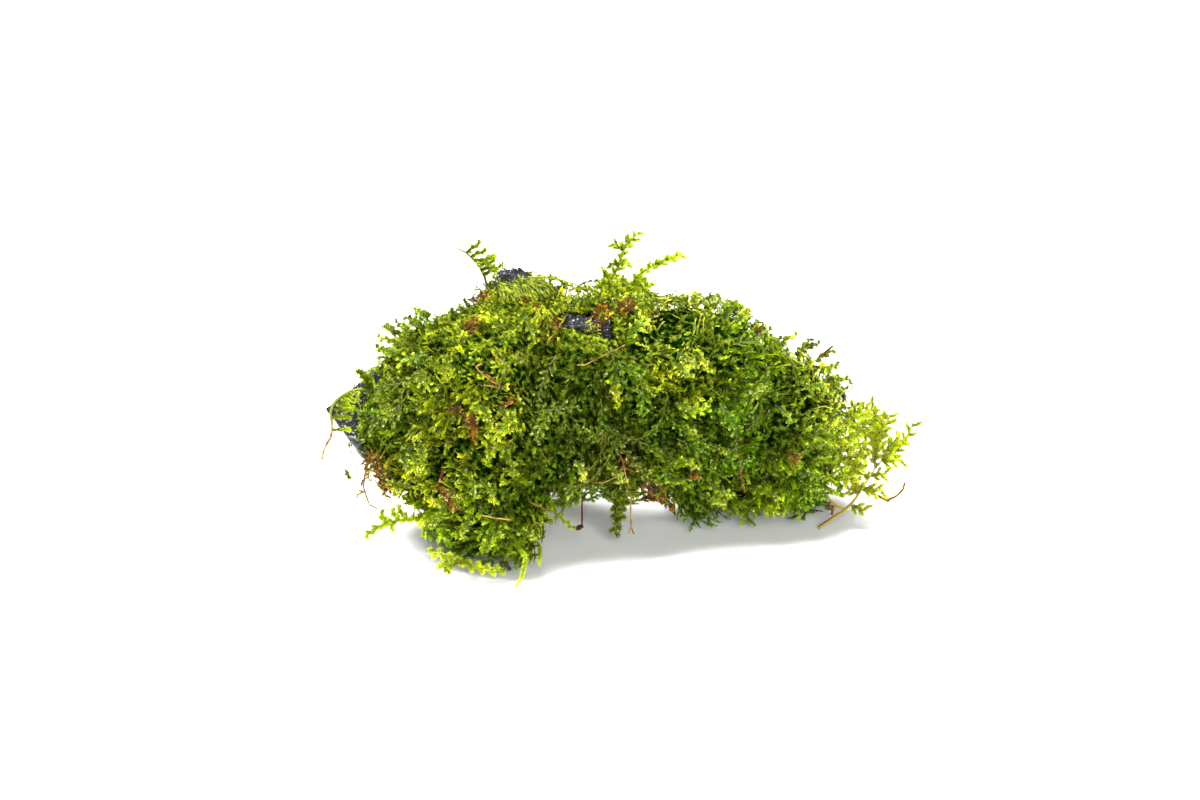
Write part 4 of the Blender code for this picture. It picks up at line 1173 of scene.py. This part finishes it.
def moss_group():
    """Shoots over a surface, their tips on it, leaning as its attributes say."""
    tree, inputs, output = node_group(
        "Moss over a surface", Shoots="Collection", Spacing="Float", From_x="Float", To_x="Float",
        Spread="Float", Seed="Int", Material="Material")
    surface, shoots, spacing, from_x, to_x, spread, seed, material = inputs
    growth = named(tree, "growth", "FLOAT")
    points = add(tree, "GeometryNodeDistributePointsOnFaces", {"distribute_method": "POISSON"},
                 surface, Distance_Min=spacing, Density_Max=MOST_SHOOTS, Density_Factor=growth,
                 Seed=seed)
    place = add(tree, "GeometryNodeInputPosition")
    across = add(tree, "ShaderNodeSeparateXYZ", None, place)
    outside = (across < from_x) + (across > to_x)
    points = add(tree, "GeometryNodeDeleteGeometry", {"domain": "POINT"}, points, Selection=outside)
    outward = named(tree, "outward", "FLOAT_VECTOR")
    raised = named(tree, "raised", "FLOAT")
    upright = named(tree, "upright", "FLOAT")
    tall = drawn(tree, 0.0, 1.0, seed + 4) ** 2
    standing = tall * 0.9 + upright * 1.1 + drawn(tree, 0.3, 0.7, seed + 10)
    lying = lying_way(tree, place, outward, spread, seed + 3)
    way = lying + outward * standing * (1 - raised * 0.55)
    axes = {"primary_axis": "Z", "secondary_axis": "Y"}
    turned = add(tree, "FunctionNodeAxesToRotation", axes, way, outward)
    height = (tall * (3.2 - raised * 2) + raised * 2.6 - 2.7) * MM
    points = add(tree, "GeometryNodeSetPosition", None, points, Offset=outward * height)
    every = add(tree, "GeometryNodeCollectionInfo", None, shoots, Separate_Children=True,
                Reset_Children=True)
    moss = add(tree, "GeometryNodeInstanceOnPoints", None, points, Instance=every,
               Pick_Instance=True, Instance_Index=shoot_kind(tree, seed + 5),
               Rotation=turned, Scale=drawn(tree, 0.8, 1.35, seed + 8) * (1 - raised * 0.3))
    clusters = add(tree, "ShaderNodeTexNoise", None, place, Scale=CLUSTER_SCALE, Detail=2)
    tone = drawn(tree, -0.1, 0.7, seed + 9) + (clusters - 0.4) * 1.3 + raised * 0.25
    moss = stored(tree, moss, "tone", tone, "INSTANCE")
    moss = add(tree, "GeometryNodeRealizeInstances", None, moss)
    finish_group(tree, kept_above_ground(tree, moss, place), material, output)
    return tree


# The cushion

def surface_tree(*nodes):
    """The nodes' surface, to look for places on."""
    bm = merged_copy(nodes[0])
    for node in nodes[1:]:
        bm.from_mesh(plain_mesh(merged_copy(node), f"{node} to look on"))
    tree = BVHTree.FromBMesh(bm)
    bm.free()
    return tree


def seen_on(tree, across, up):
    """Where the camera's ray at (across, up) meets the surface."""
    ray = placed(across, up, 0) - EYE
    return tree.ray_cast(EYE, ray.normalized())[0]


def seen_at(point):
    """Where the camera sees the point, as (across, up)."""
    ray = (point - EYE) / MM
    scale = VIEW_DISTANCE / -ray.dot(SEEN_NEARER)
    return ray.dot(SEEN_ACROSS) * scale, ray.dot(SEEN_UP) * scale


def smooth_step(low, high, value):
    t = min(max((value - low) / (high - low), 0), 1)
    return t * t * (3 - 2 * t)


def nearness(point, middle, reach):
    """1 at the middle, and less with the distance. The reach is in mm."""
    return math.exp(-((point - middle).length / (reach * MM)) ** 2)


def patch_colour(point, patches, base):
    """The colour there: each patch counts less with its distance, over the common green."""
    total = Vector(base) * BASE_WEIGHT
    weights = BASE_WEIGHT
    for middle, reach, green, weight in patches:
        near = weight * nearness(point, middle, reach)
        total += Vector(GREENS[green]) * near
        weights += near
    return total / weights


def common_green(point):
    """The green between the patches, which changes from place to place."""
    fresher = smooth_step(-0.4, 0.4, noise.noise(point / MM / GREEN_SIZE))
    return Vector(GREENS["leaf"]).lerp(Vector(GREENS["fresh"]), fresher)


def thready_share(point, thready_places):
    """How many of the shoots there are thread-like."""
    share = 0.25 + noise.noise(point / MM / THREADY_SIZE + Vector((4, 1, 7)))
    for middle, reach in thready_places:
        share += nearness(point, middle, reach)
    return min(max(share, 0.1), 0.9)


def is_inside(outline, across, up):
    """Whether the place lies inside the outline, by the edges that a line to the right crosses."""
    crossings = 0
    for (x1, y1), (x2, y2) in zip(outline, outline[1:] + outline[:1]):
        if (y1 > up) != (y2 > up) and across < x1 + (up - y1) / (y2 - y1) * (x2 - x1):
            crossings += 1
    return crossings % 2 == 1


def pocket_faces(bm, stone_tree):
    """The numbers of the faces that line the stone's pocket in the cushion."""
    found = set()
    for face in bm.faces:
        middle = face.calc_center_median()
        nearest, _, _, gap = stone_tree.find_nearest(middle)
        if gap < 1.6 * MM and (nearest - middle).normalized().dot(face.normal) > 0.6:
            found.add(face.index)
    return found


def open_normal(vertex, pocket):
    """Which way the open side faces, or nothing inside the pocket."""
    total = Vector()
    for face in vertex.link_faces:
        if face.index not in pocket:
            total += face.normal * face.calc_area()
    return total.normalized() if total.length else None


def is_bare(point):
    """Whether the camera sees the point in one of the stone's bare places."""
    across, up = seen_at(point)
    return any(is_inside(outline, across, up) for outline in BARE_STONE)


def cushion_growth(vertex):
    """No shoots under the feet or before bare stone, and fewer in the hollows between."""
    if vertex.normal.dot(SEEN_NEARER) > 0 and is_bare(vertex.co):
        return 0
    hollow = noise.noise(vertex.co / MM / HOLLOW_SIZE + Vector((9, 2, 5)))
    return smooth_step(0.2 * MM, 1.5 * MM, vertex.co.z) * smooth_step(-0.65, -0.35, hollow)


def stone_growth(vertex, cushion_tree):
    """Shoots creep from the cushion over the stone, but leave its bare places."""
    start = vertex.co + vertex.normal * 0.3 * MM
    _, _, _, covered = cushion_tree.ray_cast(start, vertex.normal, 6 * MM)
    if covered is not None or is_bare(vertex.co):
        return 0
    if vertex.normal.dot(SEEN_NEARER) > -0.1:
        return 1
    _, _, _, gap = cushion_tree.find_nearest(vertex.co)
    return smooth_step(5 * MM, 2 * MM, gap)


def hits(tree, patches):
    """The patches with their middles on the surface, where the camera sees them."""
    found = []
    for (across, up), *rest in patches.values():
        place = seen_on(tree, across, up)
        if place is None:
            raise RuntimeError(f"nothing is seen at {across}, {up}")
        found.append((place, *rest))
    return found


def cushion_marks(vertex, pocket, stone_tree):
    """How moss grows there on the cushion: how thickly, how close the stone is, which way the
    surface faces, and where the shoots spread."""
    facing = open_normal(vertex, pocket)
    growth = 0 if facing is None else cushion_growth(vertex)
    raised = smooth_step(4.5 * MM, 1 * MM, stone_tree.find_nearest(vertex.co)[3])
    spread = vertex.co - CUSHION_MIDDLE
    spread.z *= 0.3
    return growth, raised, facing or vertex.normal, spread


def stone_marks(vertex, cushion_tree):
    """The same where moss creeps over the stone, away from the cushion."""
    spread = vertex.co - cushion_tree.find_nearest(vertex.co)[0]
    return stone_growth(vertex, cushion_tree), RAISED_ON_STONE, vertex.normal, spread


def dressed_surface(cushion_tree, stone_tree):
    """The surfaces that moss grows on, with what its shoots read there: the helpers and a tint."""
    bm = merged_copy("moss_cushion")
    cushion_points = len(bm.verts)
    bm.from_mesh(plain_mesh(merged_copy("stone", 1), "stone to grow on"))
    bm.normal_update()
    bm.verts.ensure_lookup_table()
    bm.faces.index_update()
    pocket = pocket_faces(bm, stone_tree)
    whole = BVHTree.FromBMesh(bm)
    greens = hits(whole, {**PATCHES, **SPOTS})
    thready_places = hits(whole, THREADY)
    marks = {name: [] for name in HELPERS}
    tint = []
    for index, vertex in enumerate(bm.verts):
        if index < cushion_points:
            growth, raised, facing, spread = cushion_marks(vertex, pocket, stone_tree)
        else:
            growth, raised, facing, spread = stone_marks(vertex, cushion_tree)
        flat = spread - facing * spread.dot(facing)
        top = smooth_step(0, 0.8, facing.z)
        marks["growth"].append(growth)
        marks["raised"].append(raised)
        marks["upright"].append(top)
        marks["outward"].extend(facing)
        marks["lean"].extend(flat.normalized() * 0.45 + Vector((0, 0, -0.35 * (1 - top))))
        marks["thready"].append(thready_share(vertex.co, thready_places))
        tint.extend((*patch_colour(vertex.co, greens, common_green(vertex.co)), 1))
    mesh = plain_mesh(bm, "dressed surface")
    for name, values in marks.items():
        mark(mesh, name, values)
    paint(mesh, "tint", tint)
    return new_object("dressed surface", mesh)


class MOSS_OT_stone(bpy.types.Operator):
    """Makes the broken stone with its granular faces"""
    bl_idname = "moss.stone"
    bl_label = "Stone"

    def execute(self, context):
        bm = merged_copy("stone", 2)
        worn = bm.verts.layers.float.new("worn")
        moves = []
        for vertex in bm.verts:
            grain = noise.fractal(vertex.co / MM * 0.9, 0.7, 2.1, 4)
            moves.append(vertex.normal * (-0.15 + 0.4 * grain) * MM)
            # Marks how far each point's face looks down, for a greyer colour there
            vertex[worn] = smooth_step(0.3, 0.9, -vertex.normal.z)
        for vertex, move in zip(bm.verts, moves):
            vertex.co += move
        mesh = plain_mesh(bm, "stone")
        mesh.materials.append(stone_material())
        piece("stone_surface", mesh, "stone", "stone")
        return {"FINISHED"}


class MOSS_OT_cushion(bpy.types.Operator):
    """Grows the cushion: a dark mat, and leafy shoots whose tips make its outer form"""
    bl_idname = "moss.cushion"
    bl_label = "Moss cushion"

    def execute(self, context):
        settings = context.scene.moss_settings
        stone_tree = surface_tree("stone")
        self.mat(settings, stone_tree)
        leaf = leaf_object(*MOSS_LEAF)
        shoots = shoots_collection(strand_group(), leaf, settings)
        dressed = dressed_surface(surface_tree("moss_cushion"), stone_tree)
        material = leaf_material("moss_leaves")
        group = moss_group()
        for name, (low, high) in ZONES.items():
            mesh = run_group(
                dressed, group, Shoots=shoots, Spacing=settings.spacing, From_x=low * MM,
                To_x=high * MM, Spread=3.6, Seed=settings.seed, Material=material)
            for helper in HELPERS:
                mesh.attributes.remove(mesh.attributes[helper])
            piece(name, mesh, "moss", "moss_cushion")
        for obj in [dressed, leaf, *shoots.objects]:
            bpy.data.objects.remove(obj)
        bpy.data.collections.remove(shoots)
        return {"FINISHED"}

    def mat(self, settings, stone_tree):
        bm = merged_copy("moss_cushion")
        thin = bm.verts.layers.float.new("thin")
        for vertex in bm.verts:
            _, _, _, gap = stone_tree.find_nearest(vertex.co)
            deep = smooth_step(0.8 * MM, 4 * MM, gap)
            top = smooth_step(0, 0.8, vertex.normal.z)
            place = vertex.co - vertex.normal * settings.mat_depth * deep * (1 - 0.35 * top)
            vertex.co = (place.x, place.y, max(place.z, 0.3 * MM))
            # The mat is painted darker where it lies deep under the shoots, as shade, and paler
            # where it lies thin near the stone
            vertex[thin] = 0 if is_bare(vertex.co) else 1 - deep
        mesh = plain_mesh(bm, "moss_mat")
        mesh.materials.append(mat_material())
        mesh.shade_smooth()
        piece("moss_mat", mesh, "moss", "moss_cushion")


def seen_depth(surface, across, up):
    """The depth in mm of what the camera sees there, or past the surface's edge, of the nearest
    place on it towards the middle."""
    for step in range(EDGE_STEPS):
        pull = 1 - EDGE_STEP * step
        point = seen_on(surface, across * pull, up * pull)
        if point is not None:
            return point.y / MM
    raise RuntimeError(f"nothing is seen between {across}, {up} and the middle")


def laid(surface, places, lift):
    """Points for the places. Those of two numbers lie on the surface where the camera sees them,
    lifted towards it by lift in mm."""
    points = []
    for place in places:
        if len(place) == 3:
            points.append(placed(*place))
        else:
            point = placed(*place, seen_depth(surface, *place))
            points.append(point + SEEN_NEARER * lift * MM)
    return points


def side_fronds(places, reach, facing=SEEN_NEARER):
    """Short side shoots along a strand, to its left and right in turn, square to its facing."""
    strands = []
    side = 1
    for start, end in zip(places, places[1:]):
        along = (end - start).normalized()
        aside = along.cross(facing).normalized()
        steps = max(round((end - start).length / SIDE_GAP), 1)
        for step in range(steps):
            base = start.lerp(end, (step + 0.5) / steps)
            far = reach * (0.75 + 0.4 * noise.noise(base / MM * 1.7))
            tip = base + (along * 0.7 + aside * side * 0.7 + facing * 0.15) * far
            strands.append(sized([base, base.lerp(tip, 0.5) + aside * side * 0.1 * far, tip], SIDE))
            side = -side
    return strands


def leafy_mesh(name, lines, group, leaf, length, spacing, seed, material, facing=SEEN_NEARER,
               stem=LEAFY_STEM):
    """Strands with their leaves, which turn to one side. Lengths are in mm."""
    line = strands_curve(name, lines)
    mesh = run_group(
        line, group, Leaf=leaf, Leaf_length=length * MM, Leaf_spacing=spacing * MM, Opening=0.85,
        Fullness=0.8, Aside=0.35, Spread=1.8, Flatness=0.8, Facing=facing,
        Stem_radius=stem * MM, Seed=seed, Material=material)
    bpy.data.objects.remove(line)
    return mesh


def plume_place(cushion, draw):
    """A random place on the cushion's outer side where moss grows, and the side it faces."""
    while True:
        way = Vector([draw.gauss(0, 1) for _ in range(3)]).normalized()
        place, facing, _, _ = cushion.ray_cast(CUSHION_MIDDLE + way * FAR_OUT * MM, -way)
        if place is not None and place.z >= PLUME_LOWEST * MM and not is_bare(place):
            return place, facing


def plume_points(cushion, place, facing, draw):
    """A plume's places from base to tip, which follow the surface outwards and down."""
    aside = place - CUSHION_MIDDLE
    loose = Vector([draw.gauss(0, 0.5) for _ in range(3)])
    way = aside.normalized() + loose + Vector((0, 0, -0.5))
    way = (way - facing * way.dot(facing)).normalized()
    length = draw.uniform(*PLUME_LENGTH) * MM
    points = []
    for step in range(PLUME_POINTS):
        t = step / (PLUME_POINTS - 1)
        near, outward, _, _ = cushion.find_nearest(place + way * length * (t - 0.5))
        rise = PLUME_ARCH * math.sin(math.pi * (0.1 + 0.75 * t)) - PLUME_DEPTH
        points.append(near + outward * rise * MM)
    return points


def shade(mesh, green, patch):
    """Gives leaves their tint, which changes over patches of that size in mm."""
    tint, tone = [], []
    for vertex in mesh.vertices:
        change = noise.noise(vertex.co / MM / patch)
        tint.extend((*Vector(green) * (1 + 0.4 * change), 1))
        tone.append(0.6 + 0.6 * change)
    paint(mesh, "tint", tint)
    mark(mesh, "tone", tone)


def joined(meshes, name):
    """Several meshes as one. Their marks and the first one's material stay."""
    whole = new_object(name, meshes[0])
    others = [new_object(name, mesh) for mesh in meshes[1:]]
    with bpy.context.temp_override(active_object=whole, selected_editable_objects=[whole, *others]):
        bpy.ops.object.join()
    mesh = whole.data
    bpy.data.objects.remove(whole)
    return mesh


def tube_mesh(name, strands, material, rounding=1):
    """Round strands, whose points each have a half thickness."""
    line = strands_curve(name, strands)
    line.data.bevel_depth = 1
    line.data.bevel_resolution = rounding
    line.data.use_fill_caps = True
    mesh = evaluated_mesh(line)
    bpy.data.objects.remove(line)
    mesh.materials.clear()
    mesh.materials.append(material)
    return mesh


def combed_mound(surface):
    """Hair-thin shoots in front of the knob, combed from its foot to the right and down."""
    draw = random.Random(MOUND_SEED)
    strands = []
    for _ in range(MOUND_HAIRS):
        start = draw.uniform(0, 1)
        across = MOUND_LEFT + (MOUND_RIGHT - MOUND_LEFT) * start
        top = MOUND_TOP - draw.uniform(0, MOUND_EDGE) - MOUND_SLOPE * (1 - start) ** 2
        run = draw.uniform(*MOUND_RUN)
        drop = draw.uniform(*MOUND_DROP)
        bulge = draw.uniform(*MOUND_BULGE)
        thick = draw.uniform(*HAIR_THICKNESS) * MM
        points = []
        for step in range(HAIR_POINTS):
            t = step / (HAIR_POINTS - 1)
            place = (across + run * t ** 0.7, top - drop * t ** 1.6)
            points += laid(surface, [place], 0.2 + bulge * math.sin(math.pi * (0.1 + 0.8 * t)))
        strands.append([(point, thick) for point in points])
    return strands


class MOSS_OT_fronds(bpy.types.Operator):
    """Sets leaves on the fronds that stand and hang free of the cushion"""
    bl_idname = "moss.fronds"
    bl_label = "Free fronds"

    def execute(self, context):
        leaf = leaf_object(*FROND_LEAF)
        group = strand_group()
        materials = {}
        for number, (name, strands) in enumerate(FRONDS.items()):
            length, spacing, reach, green, wood = FROND_LEAVES[name]
            if wood not in materials:
                materials[wood] = leaf_material("frond_leaves", wood)
            stems, lines = [], []
            for sizes, *places in (*strands, *MORE_SHOOTS.get(name, ())):
                places = [placed(*place) for place in places]
                if sizes in (BARE, TRAIL):
                    stems.append(sized(places, sizes))
                    continue
                lines.append(sized(places, sizes))
                if reach:
                    lines += side_fronds(places, reach * MM)
            meshes = [
                leafy_mesh(name, some, group, leaf, length, spacing, number, materials[wood],
                           stem=stem)
                for some, stem in ((stems, OLD_STEM), (lines, LEAFY_STEM)) if some]
            mesh = joined(meshes, name)
            shade(mesh, GREENS[green], FROND_PATCH)
            piece(f"{name}_leafy", mesh, FROND_SLOTS.get(name, "fresh_shoot"), name)
        bpy.data.objects.remove(leaf)
        return {"FINISHED"}


class MOSS_OT_strands(bpy.types.Operator):
    """Lays bare fibres, dead bits, single shoots and a combed mound over the cushion"""
    bl_idname = "moss.strands"
    bl_label = "Fibres and dead bits"

    def execute(self, context):
        whole = surface_tree("moss_cushion", "stone")
        self.bare_strands(whole)
        leaf = leaf_object(*FROND_LEAF)
        group = strand_group()
        self.laid_bits(whole, leaf, group)
        self.plumes(whole, leaf, group)
        bpy.data.objects.remove(leaf)
        return {"FINISHED"}

    def laid_bits(self, whole, leaf, group):
        """Leafy bits on the cushion, one piece for each kind."""
        for name, (slot, rows, spacing, reach, strength, leaves) in LAID_BITS.items():
            material = leaf_material(leaves)
            meshes = []
            for number, (green, length, *places) in enumerate(rows):
                points = laid(whole, places, LAID_LIFT)
                lines = [sized(points, LEAFY)] + side_fronds(points, reach * MM)
                mesh = leafy_mesh(name, lines, group, leaf, length, spacing, number, material)
                shade(mesh, Vector(GREENS[green]) * strength, LAID_PATCH)
                meshes.append(mesh)
            piece(name, joined(meshes, name), slot, "moss_cushion")

    def plumes(self, whole, leaf, group):
        """Large plumes that lie over the smaller shoots, in the greens of their places."""
        cushion = surface_tree("moss_cushion")
        greens = hits(whole, PATCHES)
        material = leaf_material("plume_leaves")
        draw = random.Random(PLUME_SEED)
        meshes = []
        for number in range(PLUMES):
            place, facing = plume_place(cushion, draw)
            points = plume_points(cushion, place, facing, draw)
            reach = draw.uniform(*PLUME_REACH) * MM
            lines = [sized(points, LEAFY)] + side_fronds(points, reach, facing)
            mesh = leafy_mesh("plume", lines, group, leaf, PLUME_LEAF, PLUME_SPACING, number,
                              material, facing)
            green = patch_colour(place, greens, GREENS["leaf"])
            shade(mesh, green * draw.uniform(*PLUME_STRENGTH), PLUME_PATCH)
            meshes.append(mesh)
        piece("plumes", joined(meshes, "plumes"), "moss", "moss_cushion")

    def bare_strands(self, whole):
        """One piece for each colour of the fibres on the cushion, then the two that hang free."""
        materials = {
            kind: strand_material(f"strand_{kind}", pale, dark)
            for kind, (pale, dark) in STRAND_COLOURS.items()}
        for kind, material in materials.items():
            strands = []
            for own_kind, thick, *places in FIBRES:
                if own_kind == kind:
                    points = laid(whole, places, LAID_LIFT)
                    strands.append([(point, thick * MM) for point in points])
            if strands:
                slot = "fibre" if kind == "tan" else "dry_strand"
                mesh = tube_mesh(f"fibres_{kind}", strands, material)
                piece(f"fibres_{kind}", mesh, slot, "moss_cushion")
        mesh = tube_mesh("mound", combed_mound(whole), materials["hair"], 0)
        piece("mound_by_the_knob", mesh, "moss", "moss_cushion")
        for name, kind, slot, rows in (
                ("fibre_under_arch", "tan", "fibre", FIBRE_UNDER_ARCH),
                ("spore_stalk", "capsule", "spore_stalk", SPORE_STALK)):
            strands = []
            for row in rows:
                strands.append([(placed(*place), thick * MM) for *place, thick in row])
            piece(f"{name}_strand", tube_mesh(name, strands, materials[kind]), slot, name)


class MOSS_OT_stage(bpy.types.Operator):
    """Sets the pale floor, the soft studio light and the camera"""
    bl_idname = "moss.stage"
    bl_label = "Stage"

    def execute(self, context):
        settings = context.scene.stage_settings
        self.floor(context, settings)
        self.surroundings(context, settings)
        self.softbox("key", KEY_PLACE, KEY_SIZE, settings.key)
        self.softbox("front", FRONT_PLACE, FRONT_SIZE, settings.fill)
        self.camera(context)
        context.scene.view_settings.view_transform = "Standard"
        return {"FINISHED"}

    def floor(self, context, settings):
        bpy.ops.mesh.primitive_circle_add(vertices=64, radius=FLOOR_RADIUS, fill_type="NGON")
        floor = context.object
        floor.name = "floor"
        material, tree = new_material("floor")
        shader = add(tree, "ShaderNodeBsdfPrincipled", None, Base_Color=colour(settings.floor),
                     Roughness=0.35)
        add(tree, "ShaderNodeOutputMaterial", None, shader)
        floor.data.materials.append(material)

    def surroundings(self, context, settings):
        world = bpy.data.worlds.new("surroundings")
        context.scene.world = world
        world.use_nodes = True
        background = world.node_tree.nodes["Background"]
        background.inputs["Color"].default_value = colour((1, 1, 1))
        background.inputs["Strength"].default_value = settings.ambient

    def softbox(self, name, place, size, power):
        """A round lamp that points at the clump."""
        light = bpy.data.lights.new(name, "AREA")
        light.shape = "DISK"
        light.size = size
        light.energy = power
        lamp = new_object(name, light)
        lamp.location = place
        way = Vector(LIT_PLACE) - Vector(place)
        lamp.rotation_euler = way.to_track_quat("-Z", "Y").to_euler()

    def camera(self, context):
        camera = bpy.data.cameras.new("camera")
        camera.lens = LENS
        camera.sensor_width = FILM_WIDTH
        camera.clip_start = 0.01
        view = new_object("camera", camera)
        view.location = EYE
        view.rotation_euler = (math.pi / 2 - VIEW_RISE, 0, 0)
        context.scene.camera = view


class MOSS_PT_panel(bpy.types.Panel):
    """Shows the operators that make the clump's pieces, and their settings"""
    bl_idname = "MOSS_PT_panel"
    bl_label = "Moss clump"
    bl_space_type = "VIEW_3D"
    bl_region_type = "UI"
    bl_category = "Moss"

    def draw(self, context):
        for operator in OPERATORS:
            self.layout.operator(operator.bl_idname)
        for settings in (context.scene.moss_settings, context.scene.stage_settings):
            for name in settings.__annotations__:
                self.layout.prop(settings, name)


OPERATORS = (MOSS_OT_stone, MOSS_OT_cushion, MOSS_OT_fronds, MOSS_OT_strands, MOSS_OT_stage)
CLASSES = (MossSettings, StageSettings, *OPERATORS, MOSS_PT_panel)


def register():
    for item in CLASSES:
        bpy.utils.register_class(item)
    bpy.types.Scene.moss_settings = bpy.props.PointerProperty(type=MossSettings)
    bpy.types.Scene.stage_settings = bpy.props.PointerProperty(type=StageSettings)


def unregister():
    del bpy.types.Scene.stage_settings
    del bpy.types.Scene.moss_settings
    for item in reversed(CLASSES):
        bpy.utils.unregister_class(item)


def main():
    register()
    bpy.ops.moss.stone()
    bpy.ops.moss.cushion()
    bpy.ops.moss.fronds()
    bpy.ops.moss.strands()
    bpy.ops.moss.stage()
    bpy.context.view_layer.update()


if __name__ == "__main__":
    main()
